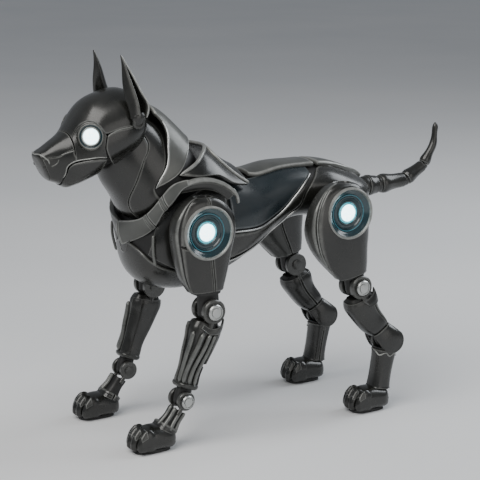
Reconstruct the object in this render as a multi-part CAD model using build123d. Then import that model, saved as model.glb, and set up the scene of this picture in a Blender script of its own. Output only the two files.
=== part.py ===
"""A walking robot dog toy: hollow plastic shells over an inner frame, servo-driven legs, a nodding head,
a jaw, two ears and a tail of four links.

The frame: millimetres, +Z up, the floor at Z = 0, the nose towards -Y, the dog's left side at +X.
The origin lies on the floor, halfway between nose tip and tail tip. Side-view points are (y, z) pairs.
"""

from build123d import *
from math import cos, radians, sin
import os

# ---- driving dimensions -------------------------------------------------------------------------------
SHELL = 2.2  # wall of the moulded covers
RUNNING = 0.06  # radial clearance of a shaft in its bore
FIXED = 0.03  # radial clearance of a pin or axle that is held fast
SEAM = 0.35  # gap between neighbouring covers on one body
REACH = 60.0  # further out sideways than any piece
LEG_IN, LEG_OUT = 32.5, 52.0  # the legs' inner and outer faces, as distances from the middle plane
LEG_MID = (LEG_IN + LEG_OUT) / 2

SHOULDER, ELBOW, WRIST = (-61.0, 145.0), (-57.0, 91.0), (-78.0, 32.0)
HIP, KNEE, HOCK = (51.0, 147.0), (62.0, 93.0), (89.0, 51.0)
FRONT_PAW, HIND_PAW = -101.0, 73.0  # y of each paw's middle
PAW_LENGTH, PAW_HEIGHT, PAW_WIDTH = 34.0, 18.0, 21.0
SOLE = 1.6  # rubber sole under each paw

HUB_R, AXLE_R = 18.6, 5.0
HEAD_OF_LIMB_R = 24.0  # the round top of an upper arm
LIMB_ROOM_R = 25.2  # what the torso keeps clear around it
CHEEK_R, TONGUE_R, PIN_R = 8.5, 8.0, 2.5
WRIST_R, HOCK_R, SMALL_PIN_R = 6.5, 8.8, 2.0  # cheeks of the wrist and the hock, and their pins

NECK_TILT = 43.5  # degrees that the neck leans forward from upright
NECK_BASE = (-75.0, 175.0)
NECK_R, COLLAR_R = 32.4, 35.0
STEM_R = 8.0  # the post that the neck turns on
NECK_TOP, NECK_TOP_TILT = (-95.5, 202.0), 53.0
NOD = (-104.0, 207.0)  # axis about which the head nods
NOD_SWEEP = (-15, -10, -5, 0, 4, 8, 12)  # degrees, nose up to nose down
NOD_PIN_R = 3.0
JAW_HINGE = (-121.0, 193.0)
JAW_ROD_R = 1.6
EAR_HINGE = (-100.0, 218.0)
EAR_PIN_R = 2.0
EYE = (21.5, -131.0, 211.5)
EYE_OUTWARD = (0.86, -0.50, 0.06)
LENS_R, BEZEL_R = 5.6, 8.6

TAIL_LINKS = [(98.0, 154.5, 7.4), (110.0, 154.5, 6.3), (134.0, 156.0, 5.0), (151.0, 165.5, 3.9)]
TAIL_BEND, TAIL_TIP = (159.6, 180.0, 2.9), (161.6, 196.5, 1.3)
CUP_SETBACK = 0.55  # how far a cup's lip stops short of the ball's middle, in ball radii

OUT = "parts"
BOTTOM = (Align.CENTER, Align.CENTER, Align.MIN)


# ---- helpers ------------------------------------------------------------------------------------------
def across(yz, x):
    """A plane at x, facing +X, whose own x and y run along the row's Y and Z, centred on (y, z)."""
    return Plane(origin=(x, yz[0], yz[1]), x_dir=(0, 1, 0), z_dir=(1, 0, 0))


def rod(yz, radius, x0, x1):
    """A round bar along X."""
    return across(yz, x0) * Cylinder(radius, x1 - x0, align=BOTTOM)


def block(x, y, z):
    """A box from three (low, high) pairs."""
    size = [high - low for low, high in (x, y, z)]
    middle = [(high + low) / 2 for low, high in (x, y, z)]
    return Pos(*middle) * Box(*size)


def slab(points, x0, x1):
    """A straight-sided prism along X from an outline of (y, z) points."""
    face = make_face(Polyline(*points, close=True))
    return extrude(across((0, 0), x0) * face, amount=x1 - x0)


def hull(circles, x0, x1):
    """The taut outline around circles (y, z, radius), as a prism along X."""
    rings = Sketch() + [Pos(y, z) * Circle(r) for y, z, r in circles]
    return extrude(across((0, 0), x0) * make_hull(rings.edges()), amount=x1 - x0)


def limb(circles, outer_round, inner_round, x0=LEG_IN, x1=LEG_OUT):
    """A leg cover: a hull whose outer and inner edges are rounded."""
    body = hull(circles, x0, x1)
    body = fillet(body.faces().sort_by(Axis.X)[-1].edges(), outer_round)
    return fillet(body.faces().sort_by(Axis.X)[0].edges(), inner_round)


def shrunk(circles, by):
    return [(y, z, r - by) for y, z, r in circles]


def form(sections, grow=0.0):
    """A smooth body through ellipses (y, half width, top, bottom), each grown by the same amount."""
    faces = []
    for y, half_width, top, bottom in sections:
        plane = Plane(origin=(0, y, (top + bottom) / 2), x_dir=(1, 0, 0), z_dir=(0, 1, 0))
        faces.append(plane * Ellipse(half_width + grow, (top - bottom) / 2 + grow))
    return loft(faces)


def leaning(yz, tilt):
    """A plane at (y, z) whose normal leans forward by tilt degrees from upright."""
    normal = (0, -sin(radians(tilt)), cos(radians(tilt)))
    return Plane(origin=(0, yz[0], yz[1]), x_dir=(1, 0, 0), z_dir=normal)


def right_of(left_part):
    return mirror(left_part, about=Plane.YZ)


def one(shape):
    """The largest solid of a cut, so that no crumb is left in a node."""
    return Part() + max(shape.solids(), key=lambda s: s.volume)


def save(name, *shapes):
    """Writes one node. Several shapes stay separate solids."""
    solids = [s for shape in shapes for s in shape.solids()]
    body = solids[0] if len(solids) == 1 else Compound(children=solids)
    export_step(body, f"{OUT}/{name}.step")


# ---- the forms that the covers are cut from -----------------------------------------------------------
TORSO = [  # y, half width, top, bottom
    (-97, 12, 149, 121),
    (-91, 24, 158, 109),
    (-76, 30.5, 171, 101),
    (-55, 31, 179, 99),
    (-30, 30.5, 178, 108),
    (-8, 28, 174, 122),
    (15, 25.5, 177, 138),
    (36, 27, 177, 141),
    (56, 30, 176, 137),
    (76, 27, 170, 137),
    (92, 15, 161, 146),
]
COWL = [
    (-92, 34, 178, 120),
    (-72, 42, 194, 116),
    (-48, 42, 200, 112),
    (-30, 38, 189, 112),
    (-8, 31.5, 178.5, 118),
]
HEAD = [
    (-163, 8.5, 199, 185),
    (-157, 10.5, 202.5, 179),
    (-146, 13, 208, 176),
    (-138, 18, 216, 177),
    (-129, 24, 231, 180),
    (-116, 26.5, 239, 185),
    (-103, 26.5, 240, 189),
    (-92, 23, 234, 195),
    (-87, 18, 228, 201),
]
RING = leaning(NECK_BASE, NECK_TILT)


def neck_form(grow=0.0):
    """The neck, from the round seat in the collar to the oval under the head."""
    seat = leaning(NECK_BASE, NECK_TILT)
    top = leaning(NECK_TOP, NECK_TOP_TILT)
    middle = Plane(origin=(seat.origin + top.origin) / 2, x_dir=(1, 0, 0), z_dir=seat.z_dir + top.z_dir)
    return loft(
        [
            seat.offset(-6) * Circle(NECK_R + grow),
            seat.offset(1) * Circle(NECK_R + grow),
            middle * Ellipse(26.5 + grow, 29 + grow),
            top * Ellipse(21.5 + grow, 24.5 + grow),
            top.offset(9) * Ellipse(17 + grow, 18.5 + grow),
        ]
    )


def shoulder_room():
    """The space that each upper arm's round head turns in, outside the torso's sides."""
    left = rod(SHOULDER, LIMB_ROOM_R, LEG_IN - 1, LEG_OUT + 10)
    return left + right_of(left)


def hub_bores(radius):
    """Cross holes for the four hub axles."""
    return rod(SHOULDER, radius, -REACH, REACH) + rod(HIP, radius, -REACH, REACH)


# ---- torso --------------------------------------------------------------------------------------------
CHEST_BACK = -32.0  # seam between the chest cover and the two body covers
DOOR_X, DOOR_Y = 13.0, (-50.0, -34.0)
SCREWS = [(-20, -64), (20, -64), (0, -86)]  # x, y of the screws under the chest
SCREW_HEAD_R, SCREW_SHANK_R, SCREW_HEAD = 2.2, 1.1, 1.8  # the last is the head's height
JACK = (0, 6)  # x, y of the charging socket in the belly
JACK_R, JACK_BORE_R = 4.5, 1.8
JACK_MOUTH, JACK_DEPTH = 132.5, 8.0  # height of its mouth, and how deep it goes
TIE_LOW, TIE_HIGH = 141.0, 150.0  # bottom and top of the frame's long tie
SWITCH_Y, SWITCH_TRAVEL = -70.0, 3.0
ARCH_R, ARCH_X = (26.2, 35.5), (33.0, 43.5)  # the collar's arch over each shoulder
ARCH_END, ARCH_ROUND = -37.0, 3.0  # y where it ends, and the rounding of its outer edge
COWL_BACK = -9.0  # y where the cowl ends and the spine plates start
SPINE_SPLIT = 47.0  # y of the gap between the two spine plates


def torso_wall():
    """The torso as one hollow wall: closed at both ends, open where the neck stands in it."""
    outer = form(TORSO) - RING.offset(-8) * Cylinder(COLLAR_R - 0.2, 60, align=BOTTOM)
    return outer - form(TORSO[1:-1], -SHELL) - hub_bores(AXLE_R + 1)


def screw(x, y, z_low):
    head = Pos(x, y, z_low) * Cylinder(SCREW_HEAD_R, SCREW_HEAD, align=BOTTOM)
    shank = Pos(x, y, z_low + SCREW_HEAD) * Cylinder(SCREW_SHANK_R, 5, align=BOTTOM)
    cross = Pos(x, y, z_low) * (Box(2.6, 0.6, 1.6) + Box(0.6, 2.6, 1.6))
    return head + shank - cross


def chest_bottom(x, y):
    """Height of the torso's underside at (x, y), read from the two nearest sections."""
    ahead = max((s for s in TORSO if s[0] <= y), key=lambda s: s[0])
    behind = min((s for s in TORSO if s[0] > y), key=lambda s: s[0])
    t = (y - ahead[0]) / (behind[0] - ahead[0])
    half_width, top, bottom = (a + t * (b - a) for a, b in zip(ahead[1:], behind[1:]))
    return (top + bottom) / 2 - (top - bottom) / 2 * (1 - (x / half_width) ** 2) ** 0.5


def make_body_covers():
    """The chest with its battery door, and the two halves of the rear body."""
    wall = torso_wall()
    front_half = block((-REACH, REACH), (-110, CHEST_BACK), (80, 200))
    door = block((-DOOR_X, DOOR_X), DOOR_Y, (90, 125))
    door_gap = block(
        (-DOOR_X - SEAM, DOOR_X + SEAM), (DOOR_Y[0] - SEAM, DOOR_Y[1] + SEAM), (90, 125)
    )
    heads = [(x, y, chest_bottom(x, y) + 0.4) for x, y in SCREWS]
    holes = Part()
    for x, y, z in heads:
        holes += Pos(x, y, z - 6) * Cylinder(SCREW_HEAD_R + 0.2, 6 + SCREW_HEAD, align=BOTTOM)
        holes += Pos(x, y, z) * Cylinder(SCREW_SHANK_R, 9, align=BOTTOM)
    slot = block((-3.5 - SWITCH_TRAVEL, 3.5), (SWITCH_Y - 2.3, SWITCH_Y + 2.3), (90, 112))
    chest = wall & front_half
    save("chest_shell", one(chest - door_gap - holes - slot))
    save("battery_door", one(chest & door))
    save("body_screws", *[screw(*head) for head in heads])

    tail_y, tail_z, tail_r = TAIL_LINKS[0]
    tail_hole = Pos(0, tail_y, tail_z) * Sphere(tail_r + 1.2)
    jack_hole = Pos(*JACK, 110) * Cylinder(JACK_R + 0.3, 40, align=BOTTOM)
    rear = wall - front_half - jack_hole - tail_hole
    save("body_shell_left", one(rear & block((0, REACH), (-40, 110), (80, 200))))
    save("body_shell_right", one(rear & block((-REACH, 0), (-40, 110), (80, 200))))


def make_collar():
    """The band around the root of the neck, with an arch that reaches over each shoulder."""
    section = [(35, 0), (37.5, 0), (40, -4), (44, -20), (41.5, -21), (37, -4), (35, -3)]
    band = make_face(Polyline(*section, close=True))
    collar = RING * revolve(Plane.XZ * band, axis=Axis.Z)
    collar &= RING * Pos(0, -54, 0) * Box(120, 120, 120)
    arch = rod(SHOULDER, ARCH_R[1], *ARCH_X) - rod(SHOULDER, ARCH_R[0], 0, REACH)
    outer_edges = arch.edges().filter_by(GeomType.CIRCLE).group_by(SortBy.RADIUS)[-1]
    arch = fillet(outer_edges.group_by(Axis.X)[-1], ARCH_ROUND)
    arch &= block((0, REACH), (-100, ARCH_END), (151, 200))
    collar += arch + right_of(arch)
    collar -= RING.offset(-40) * Cylinder(COLLAR_R, 80, align=BOTTOM)
    collar -= shoulder_room()
    collar -= form(TORSO, 0.15)
    beside_arm = block((LEG_IN - 1, 70), (-110, 0), (80, 148))
    save("collar_band", one(collar - beside_arm - right_of(beside_arm)))


def make_cowl():
    """The hood over the withers, behind the neck."""
    cowl = form(COWL) - form(COWL, -SHELL)
    cowl -= RING * Cylinder(200, 100, align=BOTTOM)
    cowl -= RING.offset(-40) * Cylinder(COLLAR_R + 0.2, 60, align=BOTTOM)
    cowl &= RING * Pos(0, 66.3, 0) * Box(120, 120, 160)
    cowl -= shoulder_room() + form(TORSO, 0.3)
    arch_gap = rod(SHOULDER, ARCH_R[1] + SEAM, ARCH_X[0] - SEAM, 70)
    cowl -= arch_gap + right_of(arch_gap)
    cowl &= block((-REACH, REACH), (-100, COWL_BACK), (161, 210))
    save("withers_cowl", one(cowl))


def make_spine():
    """Two plates along the back, one behind the other."""
    cover = form(TORSO, 3.2) - form(TORSO, 0.5)
    half = [(13, 2), (15, 40), (13, 74)]
    knots = [(0, COWL_BACK), *half, (0, 90), *[(-x, y) for x, y in reversed(half)]]
    outline = make_face(Spline(*knots, periodic=True))
    cover &= Pos(0, 0, 160) * extrude(outline, amount=40)
    cover -= form(COWL, 0.4) & block((-REACH, REACH), (-100, COWL_BACK + 0.6), (100, 210))
    front = cover & block((-30, 30), (COWL_BACK, SPINE_SPLIT - 0.2), (150, 200))
    rear = cover & block((-30, 30), (SPINE_SPLIT + 0.2, 95), (150, 200))
    save("spine_plates", one(front), one(rear))


def make_insides():
    tie = block((-9, 9), (-72, 74), (TIE_LOW, TIE_HIGH))
    bearings = rod(SHOULDER, 9, -29, 29) + rod(HIP, 9, -27, 27)
    post_boss = RING.offset(-24) * Cylinder(13, 13.5, align=BOTTOM)
    riser = block((-9, 9), (-66, -48), (148, 158))
    tail_y, tail_z, _ = TAIL_LINKS[0]
    tail_boss = block((-5, 5), (72, 84), (144, 161))
    frame = tie + bearings + post_boss + riser + tail_boss
    frame &= form(TORSO[1:-1], -SHELL - SEAM)
    frame -= hub_bores(AXLE_R + RUNNING)
    frame -= RING.offset(-30) * Cylinder(STEM_R + RUNNING, 40, align=BOTTOM)
    save("chassis_frame", one(frame))

    shoulder_servo = block((1, 21), (-74, -51), (117, 134.5))
    hip_servo = block((1, 16), (42, 63), (157.5, 166.5))
    servos = [shoulder_servo, right_of(shoulder_servo), hip_servo, right_of(hip_servo)]
    neck_servo = block((-10, 10), (-40, -18), (151, 165))
    tail_servo = block((-8, 8), (66, 71.5), (150.5, 166)) + block((-8, 8), (64, 71.5), (150.5, 157))
    save("servo_motors", *servos, neck_servo, tail_servo)
    save("battery_pack", fillet(block((-15, 15), (-50, -14), (125, 134)).edges().filter_by(Axis.Y), 3))
    board = block((-17, 17), (-14, 34), (152, 153.6))
    chips = block((-5, 5), (-8, 2), (153.6, 155)) + block((-12, -4), (12, 20), (153.6, 156))
    jack = Pos(*JACK, JACK_MOUTH) * Cylinder(JACK_R, TIE_LOW - JACK_MOUTH, align=BOTTOM)
    jack -= Pos(*JACK, JACK_MOUTH) * Cylinder(JACK_BORE_R, JACK_DEPTH, align=BOTTOM)
    save("circuit_board", board, chips, jack)
    magnet = Pos(0, -58, 106) * Cylinder(6, 4, align=BOTTOM)
    cone = Pos(0, -58, 110) * Cone(6, 12, 5, align=BOTTOM)
    save("speaker", magnet + cone)


def make_switch():
    """The slide switch: a knob below the chest wall, and wings that hold it in from above."""
    z = chest_bottom(0, SWITCH_Y)
    knob = block((-3.4, 0.4), (SWITCH_Y - 2, SWITCH_Y + 2), (z - 1.4, z + 4))
    wings = block((-4.6, 1.6), (SWITCH_Y - 3, SWITCH_Y + 3), (z + 3.7, z + 4.7))
    save("power_switch", fillet(knob.faces().sort_by(Axis.Z)[0].edges(), 0.6) + wings)


# ---- neck, head, jaw and ears -------------------------------------------------------------------------
def make_neck():
    shell = neck_form() - neck_form(-SHELL) - rod(NOD, NOD_PIN_R, -REACH, REACH)
    save("neck_shell", one(shell))
    shield = neck_form(1.9) - neck_form(0.1) - rod(NOD, 31.3, -REACH, REACH)
    shield &= slab([(-94, 172), (-84, 195), (-86.5, 212), (-84, 235), (-40, 235), (-40, 172)], -REACH, REACH)
    shield &= RING.offset(0.8) * Cylinder(80, 80, align=BOTTOM)
    save("nape_shield", one(shield))
    stem = RING.offset(-22) * Cylinder(STEM_R, 18, align=BOTTOM)
    flange = RING.offset(-6) * Cylinder(NECK_R - SHELL - 0.2, 2.5, align=BOTTOM)
    riser = hull([(NECK_BASE[0] - 2, NECK_BASE[1] + 3, 7), (NOD[0], NOD[1], 7)], -8, 8)
    axle = rod(NOD, NOD_PIN_R, -23, 23)
    save("neck_post", one(stem + flange + riser + axle))


def head_wall():
    """The head as one hollow wall, closed at the nose."""
    nose_y, *nose = HEAD[0]
    return form(HEAD) - form([(nose_y + 2, *nose), *HEAD[1:]], -SHELL)


MOUTH = [(-117, 195.5), (-143, 192.5), (-147.5, 184), (-147.5, 160), (-129, 160), (-117.5, 189)]
MOUTH_GAP = [(-115.8, 197.4), (-143.6, 193.2), (-148.3, 184.3), (-148.3, 160), (-115.8, 160)]
NECK_OPENING = [(-115.8, 160), (-115.8, 186), (-106, 199), (-96, 214), (-88, 229), (-60, 229), (-60, 160)]
MUZZLE_BACK = -139.0


def eye_plane(depth):
    """A plane facing outward through the left eye, depth behind its front."""
    plane = Plane(origin=EYE, z_dir=EYE_OUTWARD)
    return plane.offset(-depth)


def nodded(shape, angle):
    """The shape turned by an angle about the head's own axis."""
    return Pos(0, *NOD) * Rot(angle, 0, 0) * Pos(0, -NOD[0], -NOD[1]) * shape


def neck_sweep():
    """The room that the neck takes up as the head nods, seen from the head."""
    return [nodded(neck_form(0.7), -angle) for angle in NOD_SWEEP]


def make_head():
    """The cranium, the muzzle, the jaw, and the eyes with their bezels."""
    wall = head_wall()
    sockets = eye_plane(14) * Cylinder(BEZEL_R + 0.1, 30, align=BOTTOM)
    ear_boss = rod(EAR_HINGE, 4.4, 18, 24.5)
    ear_bore = rod(EAR_HINGE, EAR_PIN_R + RUNNING, 17, 40)
    nod_boss = rod(NOD, 6, 19, 25.6)
    nod_bore = rod(NOD, NOD_PIN_R + RUNNING, 18, 23.4)
    hook_plate = block((-24, 24), (-125, -117), (198, 200))
    hook = rod(JAW_HINGE, 3, 9, 13) + block((9, 13), (-124, -118), (193, 198.5))
    hook_bore = rod(JAW_HINGE, JAW_ROD_R + RUNNING, -30, 30)
    sides = Part() + [ear_boss, nod_boss, hook]
    inner = form(HEAD, -0.6)
    inside = (sides + right_of(sides) + hook_plate) & inner
    cranium = wall - slab(NECK_OPENING, -REACH, REACH) + inside
    bores = Part() + [ear_bore, nod_bore, sockets]
    cranium = cranium - bores - right_of(bores) - slab(MOUTH_GAP, -REACH, REACH)
    cranium += hook + right_of(hook)
    cranium -= hook_bore
    cranium &= block((-REACH, REACH), (MUZZLE_BACK, -60), (150, 260))
    for room in neck_sweep():
        cranium -= room
    save("cranium_shell", one(cranium))
    muzzle = wall - slab(MOUTH_GAP, -REACH, REACH)
    muzzle &= block((-REACH, REACH), (-170, MUZZLE_BACK), (150, 260))
    save("muzzle_shell", one(muzzle - sockets - right_of(sockets)))

    ring = eye_plane(5) * (Cylinder(BEZEL_R, 6, align=BOTTOM) - Cylinder(LENS_R + 0.1, 6, align=BOTTOM))
    ring = fillet(ring.edges().filter_by(GeomType.CIRCLE).sort_by(SortBy.RADIUS)[-1], 0.4)
    save("eye_bezels", ring, right_of(ring))
    lens = eye_plane(5) * Cylinder(LENS_R, 5, align=BOTTOM)
    dome = eye_plane(9.0) * (Sphere(10.2) & Pos(0, 0, 9) * Cylinder(LENS_R, 2, align=BOTTOM))
    save("eye_lenses", lens + dome, right_of(lens + dome))

    jaw = wall & slab(MOUTH, -REACH, REACH)
    hinge_rod = rod(JAW_HINGE, JAW_ROD_R, -18, 18)
    save("jaw_shell", one(jaw + hinge_rod))


def make_ear():
    """The left ear: a pointed scoop that leans in, on a lug that turns about a pin."""
    base = Plane(origin=(28.2, -99, 222), x_dir=(0, 1, 0), z_dir=(-0.2, -0.12, 1))
    outline = [
        base * Ellipse(10, 4.2),
        base.offset(14) * Pos(-1.5, 0.4) * Ellipse(8.8, 4.4),
        base.offset(28) * Pos(-3.5, 0.6) * Ellipse(5.4, 3.2),
        base.offset(41.6) * Pos(-5.5, 0.8) * Ellipse(1.2, 0.9),
    ]
    scoop = [
        base.offset(3) * Pos(-4, 3.2) * Ellipse(7, 3.2),
        base.offset(16) * Pos(-5, 3.4) * Ellipse(6, 3.2),
        base.offset(34) * Pos(-6, 2.6) * Ellipse(1.5, 1.2),
    ]
    ear = loft(outline) - loft(scoop)
    ear -= across(EAR_HINGE, 0) * Cone(92, 8.1, 26.9, align=BOTTOM)
    lug = rod(EAR_HINGE, 5.2, 27.2, 30.5)
    pin = rod(EAR_HINGE, EAR_PIN_R, 20, 27.4)
    return one(ear + lug + pin)


# ---- legs ---------------------------------------------------------------------------------------------
FORK = [(LEG_IN + 1, LEG_IN + 5.1), (LEG_OUT - 4.6, LEG_OUT - 0.5)]  # x of a fork's two cheeks
TONGUE = (FORK[0][1] + 0.4, FORK[1][0] - 0.4)


def split_cover(body, x):
    """Parts a leg cover into its outer half and the lid on its inner side."""
    lid_side = block((0, x), (-200, 200), (0, 250))
    return one(body - lid_side), one(body & lid_side)


def upper_leg(circles, hub, pivot):
    """A thigh or upper arm: a hollow cover with a seat for its hub and a tongue at its lower pivot."""
    body = limb(circles, 6, 2.5)
    body -= rod(pivot, CHEEK_R + 0.8, 0, REACH)
    pocket = hull(shrunk(circles, 3.2), LEG_IN + SHELL, LEG_OUT - 9) - rod(hub, AXLE_R + 4, 0, REACH)
    body -= pocket - rod(pivot, CHEEK_R + 3.6, 0, REACH)
    y, z, _ = circles[-1]
    body += hull([(*pivot, TONGUE_R), (y, z + 4, TONGUE_R)], *TONGUE)
    body -= rod(hub, HUB_R + 0.2, LEG_OUT - 5, REACH) + rod(hub, AXLE_R + FIXED, 0, REACH)
    return split_cover(body - rod(pivot, PIN_R + RUNNING, 0, REACH), LEG_IN + SHELL)


def lower_leg(circles, pivot, end, end_r):
    """A forearm or shin: fork cheeks around the tongue above, and a tongue below."""
    body = limb(circles, 3.0, 3.0, FORK[0][0], FORK[1][1])
    body -= rod(pivot, TONGUE_R + 1.3, TONGUE[0] - 0.4, TONGUE[1] + 0.4)
    body -= rod(end, end_r + 0.8, 0, REACH)
    pocket = hull(shrunk(circles[1:-1], 2.6), FORK[0][0] + SHELL, FORK[1][1] - SHELL)
    body -= pocket - rod(pivot, TONGUE_R + 4, 0, REACH) - rod(end, end_r + 4, 0, REACH)
    y, z, _ = circles[-2]
    reach = [(end[0] + (y - end[0]) * t, end[1] + (z - end[1]) * t) for t in (0, 0.5)]
    body += hull([(*point, end_r - 0.5) for point in reach], TONGUE[0] + 1, TONGUE[1] - 1)
    body -= rod(pivot, PIN_R + FIXED, 0, REACH) + rod(end, SMALL_PIN_R + FIXED, 0, REACH)
    return split_cover(body, FORK[0][0] + SHELL)


def leg_pins(pivot, end):
    """The two pins that ride on a lower leg, each with a round cap on both ends."""
    upper = rod(pivot, PIN_R, FORK[0][0], FORK[1][1])
    upper += rod(pivot, 5.4, FORK[1][1], FORK[1][1] + 2.4) + rod(pivot, 4, FORK[0][0] - 0.9, FORK[0][0])
    lower = rod(end, SMALL_PIN_R, TONGUE[0] - 3.6, TONGUE[1] + 3.6)
    lower += rod(end, 4.6, TONGUE[1] + 3.6, TONGUE[1] + 6) + rod(end, 3.4, TONGUE[0] - 4.6, TONGUE[0] - 3.6)
    return upper, lower


def foot_fork(end, end_r, ankle):
    """The piece between a lower leg and its paw."""
    x0, x1 = TONGUE[0] - 3.6, TONGUE[1] + 3.6
    body = limb([(*end, end_r), (*ankle, 7)], 2, 2, x0, x1)
    body -= rod(end, end_r + 0.6, TONGUE[0] + 0.6, TONGUE[1] - 0.6)
    return one(body - rod(end, SMALL_PIN_R + RUNNING, 0, REACH))


def paw_and_sole(middle, fork):
    front = middle - PAW_LENGTH / 2
    back = middle + PAW_LENGTH / 2
    toe_disc = (front + 8.5, PAW_HEIGHT / 2 + 0.6, 8.5)
    heel_disc = (back - 8.6, PAW_HEIGHT / 2, 8.6)
    outline = [toe_disc, heel_disc, (middle, 10, 9.4)]
    x0, x1 = LEG_MID - PAW_WIDTH / 2, LEG_MID + PAW_WIDTH / 2
    paw = limb(outline, 6, 6, x0, x1) & block((0, REACH), (front - 5, back + 5), (SOLE, 40))
    toe = [LEG_MID + step * PAW_WIDTH / 4 for step in (-1, 0, 1)]
    for x in toe:
        groove = block((x - 0.4, x + 0.4), (front - 1, front + 12), (0, 7))
        paw -= groove - rod((front + 10, 10), 8.6, 0, REACH)
    sole = block((x0 + 3, x1 - 3), (front + 4, back - 4), (0, SOLE))
    sole = fillet(sole.edges().filter_by(Axis.Z), 6)
    return one(paw - fork), sole


def hub_and_lens(hub, x_in):
    """A dished hub with its axle, and the round light in its middle."""
    x = LEG_OUT - 5
    disc = rod(hub, HUB_R, x, x + 5.6) - rod(hub, HUB_R - 2.4, x + 2, REACH)
    bowl = rod(hub, 8.2, x + 2, x + 4.4)
    axle = rod(hub, AXLE_R, x_in, x)
    lens = rod(hub, 6.4, x + 3, x + 5.6)
    hub_part = disc + bowl + axle - rod(hub, 6.4, x + 3, REACH)
    return one(hub_part), fillet(lens.faces().sort_by(Axis.X)[-1].edges(), 0.8)


LEGS = {
    "front": {
        "upper": [(*SHOULDER, HEAD_OF_LIMB_R), (-59, 122, 18.5), (-58, 103, 9.5)],
        "lower": [(*ELBOW, CHEEK_R), (-62, 76, 11.5), (-76, 40, 7.5), (*WRIST, 6.5)],
        "joints": (SHOULDER, ELBOW, WRIST),
        "end_r": WRIST_R,
        "ankle": (-92.0, 13.0),
        "paw": FRONT_PAW,
        "names": ("upper_arm", "forearm", "pastern"),
    },
    "hind": {
        "upper": [(*HIP, 21.5), (46, 132, 25.5), (59, 104, 12.5)],
        "lower": [(*KNEE, CHEEK_R), (67, 79, 12), (83.5, 61, 8.2), (*HOCK, 8)],
        "joints": (HIP, KNEE, HOCK),
        "end_r": HOCK_R,
        "ankle": (83.0, 17.0),
        "paw": HIND_PAW,
        "names": ("thigh", "shin", "metatarsus"),
    },
}


def make_legs():
    for end, leg in LEGS.items():
        top, middle, low = leg["joints"]
        upper_name, lower_name, foot_name = leg["names"]
        fork = foot_fork(low, leg["end_r"], leg["ankle"])
        hub, lens = hub_and_lens(top, 22)
        paw, sole = paw_and_sole(leg["paw"], fork)
        pieces = {
            upper_name: upper_leg(leg["upper"], top, middle),
            "hub": [hub],
            "light": [lens],
            lower_name: lower_leg(leg["lower"], middle, low, leg["end_r"]),
            "pins": leg_pins(middle, low),
            foot_name: [fork],
            "paw": [paw],
            "sole": [sole],
        }
        for name, solids in pieces.items():
            save(f"{end}_left_{name}", *solids)
            save(f"{end}_right_{name}", *[right_of(s) for s in solids])


# ---- tail ---------------------------------------------------------------------------------------------
def make_tail():
    """Four links. Each starts in a ball that turns in a cup at the end of the one before."""
    stops = TAIL_LINKS + [TAIL_BEND, TAIL_TIP]
    for number, (y, z, r) in enumerate(TAIL_LINKS):
        y1, z1, r1 = stops[number + 1]
        start = Vector(0, y, z)
        finish = Vector(0, y1, z1)
        along = (finish - start).normalized()
        first = Plane(origin=start, x_dir=(1, 0, 0), z_dir=along)
        body = Pos(*start) * Sphere(r)
        if number < len(TAIL_LINKS) - 1:
            lip = first.offset((finish - start).length - CUP_SETBACK * r1)
            body += loft([first * Circle(r - 0.1), lip * Circle(r1 + 0.4)])
            body -= Pos(*finish) * Sphere(r1 + 0.4)
        else:
            tip = Vector(0, *TAIL_TIP[:2])
            bend = Plane(origin=finish, x_dir=(1, 0, 0), z_dir=(along + (tip - finish).normalized()))
            end = Plane(origin=tip, x_dir=(1, 0, 0), z_dir=(tip - finish).normalized())
            body += loft([first * Circle(r - 0.1), bend * Circle(r1), end * Circle(TAIL_TIP[2])])
        save(f"tail_link_{number + 1}", one(body))


def main():
    os.makedirs(OUT, exist_ok=True)
    make_body_covers()
    make_collar()
    make_cowl()
    make_spine()
    make_insides()
    make_switch()
    make_neck()
    make_head()
    ear = make_ear()
    save("ear_left", ear)
    save("ear_right", right_of(ear))
    make_legs()
    make_tail()


main()
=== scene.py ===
import math

import bpy
import numpy as np
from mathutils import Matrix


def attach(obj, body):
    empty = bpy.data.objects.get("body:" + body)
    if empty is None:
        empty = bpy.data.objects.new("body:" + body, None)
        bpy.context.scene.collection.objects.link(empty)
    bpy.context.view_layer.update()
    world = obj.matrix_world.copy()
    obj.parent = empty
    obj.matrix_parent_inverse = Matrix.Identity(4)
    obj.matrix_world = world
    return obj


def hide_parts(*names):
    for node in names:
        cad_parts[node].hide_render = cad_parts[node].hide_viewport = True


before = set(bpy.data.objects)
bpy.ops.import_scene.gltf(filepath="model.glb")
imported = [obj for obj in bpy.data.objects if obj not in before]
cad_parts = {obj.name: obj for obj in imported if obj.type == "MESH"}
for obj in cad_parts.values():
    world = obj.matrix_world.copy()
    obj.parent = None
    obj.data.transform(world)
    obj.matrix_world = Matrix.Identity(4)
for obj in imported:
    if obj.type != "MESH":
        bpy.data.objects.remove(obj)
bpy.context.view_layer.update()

MM = 0.001

SIDES = ((1, "left"), (-1, "right"))
X_AXIS = (1, 0, 0)
TINY = 1e-9  # keeps a division by a length from failing where the length is nought

# ---- places shared with the CAD model, in millimetres ----------------------------------------------
SHOULDER, ELBOW, WRIST = (-61.0, 145.0), (-57.0, 91.0), (-78.0, 32.0)
HIP, KNEE, HOCK = (51.0, 147.0), (62.0, 93.0), (89.0, 51.0)
FRONT_PAW, HIND_PAW = -101.0, 73.0
LEG_MID = 42.25
NECK_BASE, NECK_TILT = (-75.0, 175.0), 43.5
EYE, EYE_OUTWARD = (18.6, -130.0, 210.2), (0.78, -0.62, 0.10)
EAR_HINGE = (-100.0, 218.0)
TAIL_LINKS = [(98.0, 154.5, 7.4), (110.0, 154.5, 6.3), (134.0, 156.0, 5.0), (151.0, 165.5, 3.9)]
TAIL_BEND, TAIL_TIP = (159.6, 180.0, 2.9), (161.6, 196.5, 1.3)


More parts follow.
